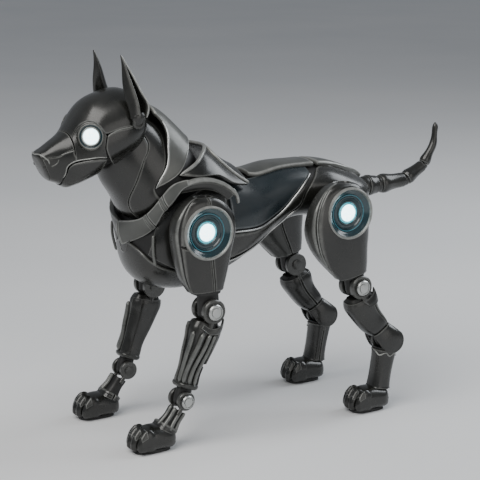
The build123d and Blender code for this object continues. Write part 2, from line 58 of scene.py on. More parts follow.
# ---- materials
def add(tree, kind, **sockets):
    """A shader node with its input sockets set by name."""
    node = tree.nodes.new(kind)
    for name, value in sockets.items():
        node.inputs[name.replace("_", " ")].default_value = value
    return node


def noise(tree, coordinates, scale, detail=3.0):
    node = add(tree, "ShaderNodeTexNoise", Scale=scale, Detail=detail)
    tree.links.new(coordinates, node.inputs["Vector"])
    return node.outputs["Fac"]


def ramp(tree, value, stops):
    """A colour ramp from (place, grey or colour) stops."""
    node = tree.nodes.new("ShaderNodeValToRGB")
    for _ in stops[2:]:
        node.color_ramp.elements.new(0.5)
    for element, (place, colour) in zip(node.color_ramp.elements, stops):
        colour = (colour,) * 3 if isinstance(colour, float) else colour
        element.position, element.color = place, (*colour, 1.0)
    tree.links.new(value, node.inputs["Fac"])
    return node.outputs["Color"]


def moulded(name, dark, light, edge_highlight, rough, coat=0.0, metal=0.0, grain=2600.0, depth=0.00002):
    """Moulded plastic or painted metal: cloudy tone, uneven polish, fine grain, and a painted highlight along
    the edges, laid on by the rim attribute and broken into patches.
    """
    material = bpy.data.materials.new(name)
    material.use_nodes = True
    tree = material.node_tree
    shader = tree.nodes["Principled BSDF"]
    shader.inputs["Metallic"].default_value = metal
    shader.inputs["Coat Weight"].default_value = coat
    shader.inputs["Coat Roughness"].default_value = 0.16
    place = tree.nodes.new("ShaderNodeTexCoord").outputs["Object"]
    tone = ramp(tree, noise(tree, place, 42.0, 4.0), [(0.32, dark), (0.7, light)])
    # rim marks where the painted edge highlight goes; the patchy noise breaks it up
    rim = tree.nodes.new("ShaderNodeAttribute")
    rim.attribute_name = "rim"
    patchy = ramp(tree, noise(tree, place, 260.0, 6.0), [(0.36, 0.65), (0.64, 1.0)])
    highlight_share = tree.nodes.new("ShaderNodeMath")
    highlight_share.operation = "MULTIPLY"
    tree.links.new(rim.outputs["Fac"], highlight_share.inputs[0])
    tree.links.new(patchy, highlight_share.inputs[1])
    mix = tree.nodes.new("ShaderNodeMix")
    mix.data_type = "RGBA"
    tree.links.new(highlight_share.outputs[0], mix.inputs["Factor"])
    tree.links.new(tone, mix.inputs[6])
    # the painted edge highlight colour
    mix.inputs[7].default_value = (*edge_highlight, 1.0)
    tree.links.new(mix.outputs[2], shader.inputs["Base Color"])
    polish = ramp(tree, noise(tree, place, 95.0, 5.0), [(0.3, rough - 0.05), (0.7, rough + 0.09)])
    tree.links.new(polish, shader.inputs["Roughness"])
    bump = add(tree, "ShaderNodeBump", Strength=0.35, Distance=depth)
    tree.links.new(noise(tree, place, grain, 2.0), bump.inputs["Height"])
    tree.links.new(bump.outputs["Normal"], shader.inputs["Normal"])
    return material


def glowing(name, colour, strength, edge_colour):
    """A lit lens: bright and even, with a faint cloudiness in the moulding."""
    material = bpy.data.materials.new(name)
    material.use_nodes = True
    tree = material.node_tree
    shader = tree.nodes["Principled BSDF"]
    shader.inputs["Roughness"].default_value = 0.2
    shader.inputs["Emission Strength"].default_value = strength
    place = tree.nodes.new("ShaderNodeTexCoord").outputs["Object"]
    tone = ramp(tree, noise(tree, place, 700.0, 2.0), [(0.3, edge_colour), (0.6, colour)])
    tree.links.new(tone, shader.inputs["Base Color"])
    tree.links.new(tone, shader.inputs["Emission Color"])
    return material


# each material's third colour is its painted edge highlight
GLOSS = moulded(
    "gloss_black", (0.006, 0.0065, 0.0055), (0.014, 0.014, 0.012), (0.11, 0.112, 0.105), 0.26, coat=0.25
)
SATIN = moulded(
    "satin_graphite", (0.058, 0.060, 0.056), (0.096, 0.099, 0.092), (0.30, 0.305, 0.29), 0.34, coat=0.2,
    metal=0.35
)
GRAPHITE = moulded(
    "dark_graphite", (0.024, 0.025, 0.023), (0.044, 0.045, 0.042), (0.20, 0.205, 0.195), 0.28, coat=0.3,
    metal=0.4
)
# near-black with a blue tint that paints a reflection of the backdrop
BLACK_BLUE_REFLECTION = moulded(
    "black_painted_blue_reflection", (0.006, 0.010, 0.013), (0.012, 0.020, 0.024), (0.10, 0.11, 0.115), 0.28, coat=0.2
)
DARK = moulded("dark_recess", (0.004, 0.004, 0.004), (0.009, 0.009, 0.008), (0.03, 0.03, 0.03), 0.5)
METAL = moulded("bright_steel", (0.34, 0.35, 0.34), (0.46, 0.47, 0.46), (0.62, 0.62, 0.61), 0.28, metal=1.0)
TEAL = moulded("teal_dish", (0.004, 0.018, 0.024), (0.007, 0.034, 0.043), (0.08, 0.19, 0.21), 0.2, coat=0.6)
RUBBER = moulded(
    "sole_rubber", (0.012, 0.012, 0.012), (0.03, 0.03, 0.03), (0.05, 0.05, 0.05), 0.7, grain=900.0
)
BOARD = moulded("circuit_green", (0.01, 0.07, 0.03), (0.02, 0.11, 0.05), (0.3, 0.28, 0.2), 0.4)
WHITE_GLOW = glowing("white_glow", (0.84, 0.98, 1.0), 5.0, (0.55, 0.88, 1.0))
CYAN_GLOW = glowing("cyan_glow", (0.13, 0.52, 0.61), 0.7, (0.03, 0.28, 0.36))
DIM_GLOW = glowing("dim_glow", (0.04, 0.15, 0.19), 0.14, (0.02, 0.10, 0.13))


# ---- curves and surfaces
class Spline:
    """A smooth curve through rows of values, one row at each knot."""

    def __init__(self, knots, rows):
        self.x = np.asarray(knots, float)
        self.y = np.asarray(rows, float)
        count, gap = len(self.x), np.diff(self.x)
        matrix = np.eye(count)
        right = np.zeros_like(self.y)
        for i in range(1, count - 1):
            matrix[i, i - 1 : i + 2] = gap[i - 1], 2 * (gap[i - 1] + gap[i]), gap[i]
            rise = (self.y[i + 1] - self.y[i]) / gap[i] - (self.y[i] - self.y[i - 1]) / gap[i - 1]
            right[i] = 6 * rise
        self.bend = np.linalg.solve(matrix, right)

    def __call__(self, t):
        t = np.asarray(t, float)
        i = np.clip(np.searchsorted(self.x, t) - 1, 0, len(self.x) - 2)
        gap = (self.x[i + 1] - self.x[i])[..., None]
        after = (t - self.x[i])[..., None]
        before = gap - after
        arc = (self.bend[i] * before**3 + self.bend[i + 1] * after**3) / (6 * gap)
        return (
            arc
            + (self.y[i] / gap - self.bend[i] * gap / 6) * before
            + (self.y[i + 1] / gap - self.bend[i + 1] * gap / 6) * after
        )


ST = (1.0, 15.0)  # how much a degree and a station count for when a curve on a form is measured


def through(points, weights=1.0):
    """A smooth curve over 0 to 1 through a few points."""
    points = np.asarray(points, float)
    steps = np.linalg.norm(np.diff(points, axis=0) * weights, axis=1)
    knots = np.concatenate([[0], np.cumsum(steps)])
    return Spline(knots / knots[-1], points)


class Surface:
    """What a form and a strip share: a point on them, or at a height above them."""

    step_s, step_t = 0.5, 0.02  # how far to each side the slope is measured

    def at(self, s, t, lift=0.0):
        point, outside = self.raw(s, t)
        over = self.raw(np.asarray(s) + self.step_s, t)[0] - self.raw(np.asarray(s) - self.step_s, t)[0]
        t = np.asarray(t, float)
        ahead, behind = np.minimum(t + self.step_t, self.last), np.maximum(t - self.step_t, 0)
        along = self.raw(s, ahead)[0] - self.raw(s, behind)[0]
        normal = np.cross(over, along)
        normal /= np.linalg.norm(normal, axis=-1, keepdims=True) + TINY
        normal *= np.sign((normal * outside).sum(-1, keepdims=True) + TINY)
        return point + normal * np.asarray(lift, float)[..., None]


class Form(Surface):
    """A smooth tube-like surface around the middle plane x.

    A station is (y, z, lean, half width, up, down, boxiness up, boxiness down). A point is given by s,
    the angle round the tube in degrees (0 outward along +X, 90 up), and t, the station number.
    """

    def __init__(self, stations, x=0.0):
        rows = np.array(stations, float)
        steps = np.linalg.norm(np.diff(rows[:, [0, 1, 3]], axis=0), axis=1)
        self.knots = np.concatenate([[0], np.cumsum(steps)])
        self.spline = Spline(self.knots, rows)
        self.last = len(rows) - 1
        self.x = x

    def raw(self, s, t):
        s, t = np.broadcast_arrays(np.asarray(s, float), np.asarray(t, float))
        knot = np.interp(t, np.arange(self.last + 1), self.knots)
        y, z, lean, half, up, down, box_up, box_down = np.moveaxis(self.spline(knot), -1, 0)
        c, q = np.cos(np.radians(s)), np.sin(np.radians(s))
        rise = np.where(q > 0, up, down)
        power = np.where(q > 0, box_up, box_down)
        reach = (np.abs(c / half) ** power + np.abs(q / rise) ** power) ** (-1 / power)
        lean = np.radians(lean)
        w = reach * q
        middle = np.stack([np.full_like(y, self.x), y, z], -1)
        offset = np.stack([reach * c, -w * np.sin(lean), w * np.cos(lean)], -1)
        return middle + offset, offset

    def find(self, y, z):
        """The (s, t) on the +X side that a side view shows at (y, z)."""
        s, t = np.meshgrid(np.arange(-88.0, 89.0, 2), np.arange(0, self.last + 0.01, 0.05))
        seen = self.raw(s, t)[0][..., 1:]
        best = np.argmin(((seen - (y, z)) ** 2).sum(-1))
        s, t = s.flat[best], t.flat[best]
        for _ in range(6):
            miss = np.array((y, z)) - self.raw(s, t)[0][1:]
            by_s = self.raw(s + 0.5, t)[0][1:] - self.raw(s - 0.5, t)[0][1:]
            by_t = (self.raw(s, min(t + 0.02, self.last))[0] - self.raw(s, max(t - 0.02, 0))[0])[1:] * 25
            step = np.linalg.lstsq(np.stack([by_s, by_t], 1), miss, rcond=0.05)[0]
            s = float(np.clip(s + np.clip(step[0], -4, 4), -89, 89))
            t = float(np.clip(t + np.clip(step[1], -0.2, 0.2), 0, self.last))
        return s, t


def seen(form, *points):
    """A curve on a form, from points of the side view."""
    return [form.find(y, z) for y, z in points]


def other_side(curve):
    return [(180 - s, t) for s, t in curve]


# ---- meshes
def piece(name, body, nodes, material, points, faces, side=1, rim=None, sharp=38.0):
    """Makes a mesh from millimetre points, rides it on its body and lets it stand for CAD nodes."""
    points = np.array(points, float) * MM
    points[:, 0] *= side
    if side < 0:
        faces = [face[::-1] for face in faces]
    mesh = bpy.data.meshes.new(name)
    mesh.from_pydata(points.tolist(), [], faces)
    mesh.validate()
    mesh.shade_smooth()
    mesh.set_sharp_from_angle(angle=math.radians(sharp))
    # rim: each point's share of the material's painted edge highlight
    layer = mesh.attributes.new("rim", "FLOAT", "POINT")
    if rim is not None:
        layer.data.foreach_set("value", np.asarray(rim, np.float32))
    mesh.materials.append(material)
    obj = bpy.data.objects.new(name, mesh)
    bpy.context.scene.collection.objects.link(obj)
    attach(obj, body)
    if nodes:
        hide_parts(*([nodes] if isinstance(nodes, str) else nodes))
    return obj


def grid_faces(rows, columns, wrap=False):
    faces = []
    for row in range(0, (rows - 1) * columns, columns):
        for j in range(columns if wrap else columns - 1):
            k = (j + 1) % columns
            faces.append([row + j, row + k, row + columns + k, row + columns + j])
    return faces


def tube_faces(rows, columns):
    """The faces of a grid closed into a tube, with a fan at each end round one of the last two points."""
    faces = grid_faces(rows, columns, wrap=True)
    first_end = rows * columns
    last_row = first_end - columns
    for j in range(columns):
        k = (j + 1) % columns
        faces.append([first_end, k, j])
        faces.append([first_end + 1, last_row + j, last_row + k])
    return faces


def outward(points, faces):
    """The faces, turned so that a closed mesh's volume is positive."""
    points = np.asarray(points, float)
    volume = 0.0
    for corners in {len(face) for face in faces}:
        group = np.array([face for face in faces if len(face) == corners])
        for k in range(1, corners - 1):
            a, b, c = points[group[:, 0]], points[group[:, k]], points[group[:, k + 1]]
            volume += float((a * np.cross(b, c)).sum())
    return faces if volume > 0 else [face[::-1] for face in faces]


def sunk(points, well, deeper=0.0):
    """The points, with those inside a round well (centre, axis, radius, floor) pressed to its floor."""
    if well is None:
        return points
    centre, axis, radius, floor = well
    axis = np.array(axis, float) / np.linalg.norm(axis)
    offset = points - np.array(centre)
    height = offset @ axis
    away = np.linalg.norm(offset - height[..., None] * axis, axis=-1)
    drop = np.where((away < radius) & (height > floor - deeper), height - floor + deeper, 0.0)
    return points - drop[..., None] * axis


def skin(
    name, body, nodes, material, form, t0=0.0, t1=None, lift=0.0, rows=48, columns=64, side=1, well=None
):
    """A closed body from a form, with a cap at each end."""
    t1 = form.last if t1 is None else t1
    s = np.arange(columns) * 360.0 / columns
    t = np.linspace(t0, t1, rows)
    points = sunk(form.at(s[None, :], t[:, None], lift).reshape(-1, 3), well, 0.6)
    faces = tube_faces(rows, columns)
    points = np.vstack([points, points[:columns].mean(0), points[-columns:].mean(0)])
    return piece(name, body, nodes, material, points, outward(points, faces), side)


def half_skin(name, body, nodes, material, form, t0, t1, lift, rows, columns, side, well):
    """The +X half of a closed body, from keel to crest, closed by a flat wall on the middle plane."""
    s = np.linspace(-90, 90, columns)
    t = np.linspace(t0, t1, rows)
    points = sunk(form.at(s[None, :], t[:, None], lift), well)
    points[:, [0, -1], 0] = 0.0
    wall = points * (0, 1, 1)
    faces = layer_faces(rows, columns)
    both = np.vstack([points.reshape(-1, 3), wall.reshape(-1, 3)])
    return piece(name, body, nodes, material, both, outward(both, faces), side)


def coons(low, high, left, right, u, v):
    """Fills four parameter curves: low and high run along u, left and right along v."""
    low, high, left, right = (through(c, ST) for c in (low, high, left, right))
    u2, v2 = u[None, :, None], v[:, None, None]
    across = (1 - v2) * low(u)[None] + v2 * high(u)[None]
    along = (1 - u2) * left(v)[:, None] + u2 * right(v)[:, None]
    corners = (1 - u2) * (
        (1 - v2) * low(0.0) + v2 * high(0.0)
    ) + u2 * ((1 - v2) * low(1.0) + v2 * high(1.0))
    return across + along - corners


def layer_faces(rows, columns):
    """The faces of a grid, of its copy that follows it, and of the border that joins the two."""
    count = rows * columns
    top = grid_faces(rows, columns)
    under = [[count + i for i in face[::-1]] for face in top]
    ring = list(range(columns))
    ring += [i * columns + columns - 1 for i in range(1, rows)]
    ring += [(rows - 1) * columns + j for j in range(columns - 2, -1, -1)]
    ring += [i * columns for i in range(rows - 2, 0, -1)]
    border = [[b, a, count + a, count + b] for a, b in zip(ring, ring[1:] + ring[:1])]
    return top + under + border


EDGE_STEPS = np.array([0.0, 0.3, 0.7, 1.2, 1.9, 2.8])  # where an edge's rows lie, in edge widths


def edge_height(distance, round_off, lip):
    """How high a plate stands at a distance from its border: rolled over, then a lip, then level."""
    heights = [-round_off, -0.35 * round_off, 0.9 * lip, lip, 0.55 * lip, 0]
    return np.interp(distance, EDGE_STEPS, heights)


def plate(
    name, body, nodes, material, form, left, right, low=None, high=None,
    lift=0.2, thick=1.4, edge=0.7, round_off=0.6, lip=0.0, grid=(36, 36), side=1, crown=0.0, well=None,
):
    """A moulded cover lying on a form inside four curves, with rolled edges and real thickness."""
    low = low or [left[0], right[0]]
    high = high or [left[-1], right[-1]]
    middle = coons(low, high, left, right, np.linspace(0, 1, 9), np.linspace(0, 1, 9))
    spots = form.at(middle[..., 0], middle[..., 1])
    width = np.linalg.norm(np.diff(spots, axis=1), axis=-1).sum(1).mean()
    height = np.linalg.norm(np.diff(spots, axis=0), axis=-1).sum(0).mean()

    def steps(length, count):
        border = np.minimum(EDGE_STEPS * edge / length, 0.45 * EDGE_STEPS / EDGE_STEPS[-1])
        inner = np.linspace(border[-1], 1 - border[-1], count)
        return np.concatenate([border[:-1], inner, 1 - border[:-1][::-1]])

    u, v = steps(width, grid[0]), steps(height, grid[1])
    st = coons(low, high, left, right, u, v)
    to_side = np.minimum(u, 1 - u)[None, :] * width / edge
    to_end = np.minimum(v, 1 - v)[:, None] * height / edge
    distance = np.minimum(to_side, to_end)
    bulge = crown * (4 * u * (1 - u))[None, :] * (4 * v * (1 - v))[:, None]
    top = form.at(st[..., 0], st[..., 1], lift + bulge + edge_height(distance, round_off, lip))
    under = form.at(st[..., 0], st[..., 1], np.full(st.shape[:2], lift - thick))
    top, under = sunk(top, well), sunk(under, well, 0.5)
    rows, columns = st.shape[:2]
    points = np.vstack([top.reshape(-1, 3), under.reshape(-1, 3)])
    faces = layer_faces(rows, columns)
    # the painted edge highlight: strongest just inside the border, none on the underside
    rim = np.interp(distance, [0, 0.5, 1.2, 1.9], [0.2, 1.0, 0.6, 0.0]).reshape(-1)
    rim = np.concatenate([rim, np.zeros(rows * columns)])
    return piece(name, body, nodes, material, points, outward(points, faces), side, rim)


def wrap_plate(name, body, node, material, form, s_range, t_range, side, **options):
    """A plate between two angles and two stations, with square corners."""
    (s0, s1), (t0, t1) = s_range, t_range
    return plate(
        name, body, node, material, form, [(s0, t0), (s0, t1)], [(s1, t0), (s1, t1)], side=side, **options
    )


def frame_along(path):
    """Two directions square to a path at each of its points."""
    path = np.asarray(path, float)
    ahead = np.gradient(path, axis=0)
    ahead /= np.linalg.norm(ahead, axis=1, keepdims=True)
    first = np.cross(ahead[0], (0.3, 0.2, 0.9))
    sides = [first / np.linalg.norm(first)]
    for direction in ahead[1:]:
        turned_side = sides[-1] - direction * np.dot(direction, sides[-1])
        sides.append(turned_side / np.linalg.norm(turned_side))
    sides = np.array(sides)
    return sides, np.cross(ahead, sides)


def bar(name, body, nodes, material, path, radius, side=1, around=12, rim=0.6, flat=1.0):
    """A round bar with domed ends along a smooth path."""
    line = through(path)(np.linspace(0, 1, 40))
    sides, ups = frame_along(line)
    size = np.ones(len(line))
    size[:3] = size[-3:][::-1] = (0.3, 0.75, 0.95)
    size = size * radius
    angle = np.arange(around) * 2 * math.pi / around
    rings = (
        line[:, None]
        + size[:, None, None] * np.cos(angle)[None, :, None] * sides[:, None]
        + flat * size[:, None, None] * np.sin(angle)[None, :, None] * ups[:, None]
    )
    points = np.vstack([rings.reshape(-1, 3), line[:1], line[-1:]])
    faces = tube_faces(len(line), around)
    # every point of the bar carries the same share of painted edge highlight
    return piece(
        name, body, nodes, material, points, outward(points, faces), side, np.full(len(points), rim)
    )


def on_form(form, curve, lift=0.0, count=24):
    """Points in space of a parameter curve on a form."""
    st = through(curve, ST)(np.linspace(0, 1, count))
    return form.at(st[:, 0], st[:, 1], np.full(count, lift))


def turned(
    name, body, nodes, material, centre, axis, profile, side=1, around=72, rim=0.0, arc=(0.0, 360.0)
):
    """A lathe-turned piece: profile points are (radius, height along the axis)."""
    axis = np.array(axis, float)
    axis /= np.linalg.norm(axis)
    first = np.cross(axis, (0.0, 0.0, 1.0) if abs(axis[2]) < 0.9 else (0.0, 1.0, 0.0))
    first /= np.linalg.norm(first)
    second = np.cross(axis, first)
    whole = arc[1] - arc[0] >= 360
    angles = np.radians(np.linspace(*arc, around, endpoint=not whole))
    wheel = np.cos(angles)[:, None] * first + np.sin(angles)[:, None] * second
    points, rows = [], []
    for radius, height in profile:
        rows.append(len(points))
        middle = np.array(centre) + axis * height
        points.extend([middle] if radius < 1e-6 else list(middle + radius * wheel))
    faces = []
    for (r0, _), (r1, _), a, b in zip(profile, profile[1:], rows, rows[1:]):
        for j in range(around if whole else around - 1):
            k = (j + 1) % around
            if r0 < 1e-6:
                faces.append([a, b + k, b + j])
            elif r1 < 1e-6:
                faces.append([b, a + j, a + k])
            else:
                faces.append([a + j, a + k, b + k, b + j])
    if not whole:
        faces.append([row for row in rows][::-1])
        faces.append([row + around - 1 for row in rows])
    # every point of the piece carries the same share of painted edge highlight
    return piece(
        name, body, nodes, material, points, outward(points, faces), side, np.full(len(points), rim), 32.0
    )


def ringed(inner, outer, base, top, soft=0.5):
    """The closed profile of a ring with rounded shoulders, starting and ending at its base."""
    return [
        (inner, base), (outer, base), (outer, top - soft), (outer - 0.3 * soft, top - 0.3 * soft),
        (outer - soft, top), (inner + soft, top), (inner + 0.3 * soft, top - 0.3 * soft),
        (inner, top - soft),
        (inner, base),
    ]


# ---- forms
def oval(y, half, top, bottom, box=2.1, box_low=None):
    """An upright station from its half width, top and bottom."""
    return (y, (top + bottom) / 2, 0, half, (top - bottom) / 2, (top - bottom) / 2, box, box_low or box)


TORSO = Form(
    [
        oval(-98.5, 5, 142, 128),
        oval(-97, 12, 149, 121),
        oval(-91, 24, 158, 109),
        oval(-76, 30.5, 171, 101),
        oval(-55, 31, 179, 99),
        oval(-30, 30.5, 178, 108, 2.1, 2.6),
        oval(-8, 28, 174, 121, 2.2, 3.0),
        oval(15, 25.5, 177, 136.5, 2.3, 3.0),
        oval(36, 27, 177, 140.5, 2.3, 2.8),
        oval(56, 30, 176, 137, 2.3),
        oval(76, 27, 170, 137),
        oval(92, 15, 161, 146),
        oval(94.5, 9, 157.5, 149),
    ]
)
COWL = Form(
    [
        oval(-92, 34, 178, 120),
        oval(-72, 42, 194, 116),
        oval(-48, 42, 200, 112),
        oval(-30, 38, 189, 112),
        oval(-8, 31.5, 178.5, 118),
        oval(0, 30.5, 177, 119),
    ]
)
HEAD = Form(
    [
        (-158.6, 190.0, 24, 5.5, 7.4, 7.0, 3.0, 2.4),
        (-157.6, 190.0, 24, 7.9, 9.5, 9.4, 3.4, 2.4),
        (-152.2, 190.8, 20, 10.2, 12.0, 12.8, 3.4, 2.3),
        (-146.0, 191.5, 12, 12.4, 15.4, 16.2, 3.0, 2.3),
        (-139.5, 193.5, 5, 16.4, 19.0, 17.6, 2.6, 2.3),
        (-133.0, 198.0, 0, 21.4, 25.4, 20.2, 2.4, 2.3),
        (-125.5, 203.0, 0, 25.0, 28.6, 22.2, 2.2, 2.2),
        (-115.0, 208.0, 0, 26.4, 28.4, 23.0, 2.1, 2.1),
        (-104.0, 212.0, 0, 26.2, 26.6, 22.8, 2.1, 2.1),
        (-94.5, 214.0, 0, 23.2, 21.6, 19.0, 2.1, 2.1),
        (-88.3, 214.5, 0, 17.5, 13.6, 13.0, 2.0, 2.0),
    ]
)


def neck_station(height, half, up, down, turn=0.0, shift=0.0):
    """A station at a height above the collar along the neck's axis."""
    lean = math.radians(NECK_TILT + turn)
    y = NECK_BASE[0] - math.sin(math.radians(NECK_TILT)) * height - shift
    z = NECK_BASE[1] + math.cos(math.radians(NECK_TILT)) * height
    return (y, z, -(90 - math.degrees(lean)), half, up, down, 2.1, 2.1)


NECK = Form(
    [
        neck_station(-7, 31.6, 31.8, 31.8),
        neck_station(1, 32.0, 32.0, 32.0),
        neck_station(10, 28.6, 30.2, 30.6, 3),
        neck_station(20, 25.2, 28.2, 28.6, 5),
        neck_station(33, 22.0, 25.0, 26.4, 9),
        neck_station(42, 18.5, 20.0, 21.5, 10),
        neck_station(48, 14.5, 15.5, 16.5, 10),
    ]
)
NAPE = Form(
    [
        neck_station(-7, 32.4, 33.0, 32.4),
        neck_station(1, 32.4, 34.5, 32.4),
        neck_station(10, 29.4, 35.0, 30.8, 3),
        neck_station(20, 26.2, 34.8, 28.8, 5),
        neck_station(33, 22.8, 32.4, 26.6, 9),
        neck_station(42, 19.5, 26.5, 21.5, 10),
        neck_station(48, 15.0, 20.5, 16.5, 10),
    ]
)


# ---- head
MOUTH = [(4, 4.02), (0, 4.51), (-6, 5.13), (-14, 6.0), (-20, 6.42)]
HOOK = [(-89, 2.33), (-40, 2.58), (-18, 3.03), (0, 3.36), (4, 3.7), (5, 3.98)]
BROW = [(50, 4.05), (57, 4.26), (60, 4.66), (54, 5.13), (46, 5.58), (32, 6.02), (14, 6.36)]
CHEEK_TOP = [(12, 6.46), (12, 7.18), (8, 7.97), (8, 8.5), (14, 9.2), (26, 9.85)]
CHEEK_FRONT = [(-50, 7.23), (-18, 6.51), (-4, 6.31), (12, 6.42)]
CHEEK_BOTTOM = [(-50, 7.23), (-50, 7.9), (-44, 8.7), (-34, 9.6)]
RIDGE = [(38, 1.15), (34, 2.0), (30, 2.77), (32, 3.44), (29, 3.98)]
HEAD_BODY = "head"
EYE_WELL = (EYE, EYE_OUTWARD, 8.9, -2.6)
CORE_WELL = (EYE, EYE_OUTWARD, 11.0, -4.5)


def shifted(curve, by):
    return [(s + by, t) for s, t in curve]


def make_cranium():
    for side, word in SIDES:
        half_skin(
            f"cranium_core_{word}", HEAD_BODY, "cranium_shell", DARK, HEAD, 4.2, 9.9, -2.2, 40, 40, side,
            CORE_WELL
        )
    left = shifted(BROW[:-1] + [(15, 6.42)] + CHEEK_TOP[1:], 0.7)
    plate(
        "cranium_dome", HEAD_BODY, "cranium_shell", GLOSS, HEAD, left, other_side(left),
        low=[left[0], (90, 4.0), (180 - left[0][0], left[0][1])], lift=0.0, thick=2.0, round_off=0.25,
        edge=0.4, grid=(60, 60), well=EYE_WELL,
    )
    for side, word in SIDES:
        plate(
            f"cheek_plate_{word}", HEAD_BODY, "cranium_shell", GLOSS, HEAD,
            CHEEK_FRONT, [(-34, 9.6), (-4, 9.75), (24, 9.85)],
            low=CHEEK_BOTTOM, high=shifted(CHEEK_TOP, -0.7), lift=0.1, thick=2.0, round_off=0.3,
            edge=0.5, side=side, grid=(30, 30), crown=0.5,
        )
        # the orbit: the plate that the eye sits in, between brow, muzzle and cheek
        brow = shifted(BROW, -0.7)
        plate(
            f"orbit_plate_{word}", HEAD_BODY, "cranium_shell", GLOSS, HEAD,
            [MOUTH[0], brow[0]], [MOUTH[-1], (-4, 6.25), brow[-1]],
            low=MOUTH, high=brow, lift=0.0, thick=1.6, round_off=0.25, edge=0.4, side=side,
            grid=(50, 50), well=EYE_WELL,
        )
        bar(
            f"brow_ridge_{word}", HEAD_BODY, "cranium_shell", GLOSS, on_form(HEAD, BROW[2:], 0.1)[::3],
            0.55, side, rim=0.9
        )
        seam = on_form(HEAD, CHEEK_TOP[:4], -0.1)
        bar(f"cheek_seam_{word}", HEAD_BODY, "cranium_shell", SATIN, seam[::4], 0.35, side)


def make_muzzle():
    bridge = shifted(RIDGE, 0.4)
    plate(
        "muzzle_bridge", HEAD_BODY, "muzzle_shell", GLOSS, HEAD, bridge, other_side(bridge),
        low=[bridge[0], (90, 1.15), other_side(bridge)[0]],
        high=[bridge[-1], (90, 3.97), other_side(bridge)[-1]],
        lift=0.0, thick=1.6, round_off=0.2, edge=0.35, grid=(36, 36),
    )
    for side, word in SIDES:
        upper = shifted(RIDGE, -0.4)
        plate(
            f"muzzle_side_{word}", HEAD_BODY, "muzzle_shell", GLOSS, HEAD, [(-89, 1.15), HOOK[0]], upper,
            low=[(-89, 1.15), (-30, 1.15), upper[0]], high=HOOK + [(18, 3.98), upper[-1]],
            lift=0.0, thick=1.6, round_off=0.2, edge=0.35, side=side, grid=(44, 44),
        )
        ridge = [(31, 2.9), (31, 3.3), (29, 3.7), (26, 4.1)]
        bar(
            f"muzzle_ridge_{word}", HEAD_BODY, "muzzle_shell", GLOSS, on_form(HEAD, ridge, -0.2)[::3], 0.6,
            side, rim=0.9
        )
        line = HOOK[1:-1] + MOUTH
        bar(
            f"lip_line_{word}", HEAD_BODY, "muzzle_shell", SATIN, on_form(HEAD, line, -0.05, 40)[::3], 0.38,
            side, rim=1.0
        )
        wing = [(22, 2.62), (14, 2.42), (7, 2.05), (3, 1.6)]
        bar(
            f"nose_wing_{word}", HEAD_BODY, "muzzle_shell", GLOSS, on_form(HEAD, wing, -0.1)[::3], 0.45,
            side, rim=1.0
        )
        edge = [(90, 1.0), (66, 1.2), (46, 1.45), (30, 1.66), (20, 1.7), (10, 1.45)]
        bar(
            f"nose_edge_{word}", HEAD_BODY, "muzzle_shell", SATIN, on_form(HEAD, edge, 0.05)[::3], 0.5,
            side, rim=0.8
        )
        nostril = [(4, 0.62), (14, 0.9), (12, 1.3)]
        bar(
            f"nostril_{word}", HEAD_BODY, "muzzle_shell", DARK, on_form(HEAD, nostril, -0.2)[::4], 0.7, side
        )
    skin("nose_block", HEAD_BODY, "muzzle_shell", GLOSS, HEAD, 0.0, 1.12, 0.0, 20, 56)
    skin("muzzle_core", HEAD_BODY, "muzzle_shell", DARK, HEAD, 1.0, 2.6, -1.5, 14, 48)


def make_jaw():
    body = "jaw"
    lip = [
        (-84, 2.48), (-42, 2.72), (-21, 3.15), (-4, 3.48), (0, 3.8), (-1, 4.1), (-4, 4.55), (-9, 5.13),
        (-17, 6.0), (-24, 6.5)
    ]
    left = [(-180 - s, t) for s, t in lip]
    plate(
        "jaw_cover", body, "jaw_shell", GLOSS, HEAD, left, lip,
        low=[left[0], (-90, 2.55), lip[0]], high=[left[-1], (-120, 6.3), (-60, 6.3), lip[-1]],
        lift=0.0, thick=1.8, round_off=0.4, lip=0.1, edge=0.6, grid=(64, 48),
    )
    turned(
        "jaw_rod", body, "jaw_shell", METAL, (-10.0, -122.0, 194.4), X_AXIS,
        [(0, 0), (0.8, 0), (0.8, 20), (0, 20)], around=20
    )


def make_eyes():
    for side, word in SIDES:
        node = "eye_bezels"
        turned(
            f"eye_inner_ring_{word}", HEAD_BODY, node, SATIN, EYE, EYE_OUTWARD,
            ringed(5.3, 6.3, -2.4, 0.4, 0.3), side, rim=1.0
        )
        dish = [(5.3, -1.0), (6.4, -0.6), (7.1, -0.5), (8.2, -0.2), (8.3, -2.6), (5.3, -2.6), (5.3, -1.0)]
        turned(f"eye_dish_{word}", HEAD_BODY, node, TEAL, EYE, EYE_OUTWARD, dish, side)
        turned(
            f"eye_outer_ring_{word}", HEAD_BODY, node, SATIN, EYE, EYE_OUTWARD,
            ringed(7.6, 8.5, -2.6, 0.35, 0.3), side, rim=0.5
        )
        socket = [
            (8.4, -3.5), (8.4, 0.1), (8.8, 0.45), (9.3, 0.35), (9.9, -0.2), (10.4, -1.2), (10.5, -4.5),
            (8.4, -4.5), (8.4, -3.5)
        ]
        turned(f"eye_socket_{word}", HEAD_BODY, node, GLOSS, EYE, EYE_OUTWARD, socket, side, rim=0.3)
        lens = [(0, 0.9), (1.9, 0.8), (3.6, 0.5), (4.6, 0.1), (5.1, -0.5), (5.1, -3.0), (0, -3.0)]
        turned(f"eye_lens_{word}", HEAD_BODY, "eye_lenses", WHITE_GLOW, EYE, EYE_OUTWARD, lens, side)


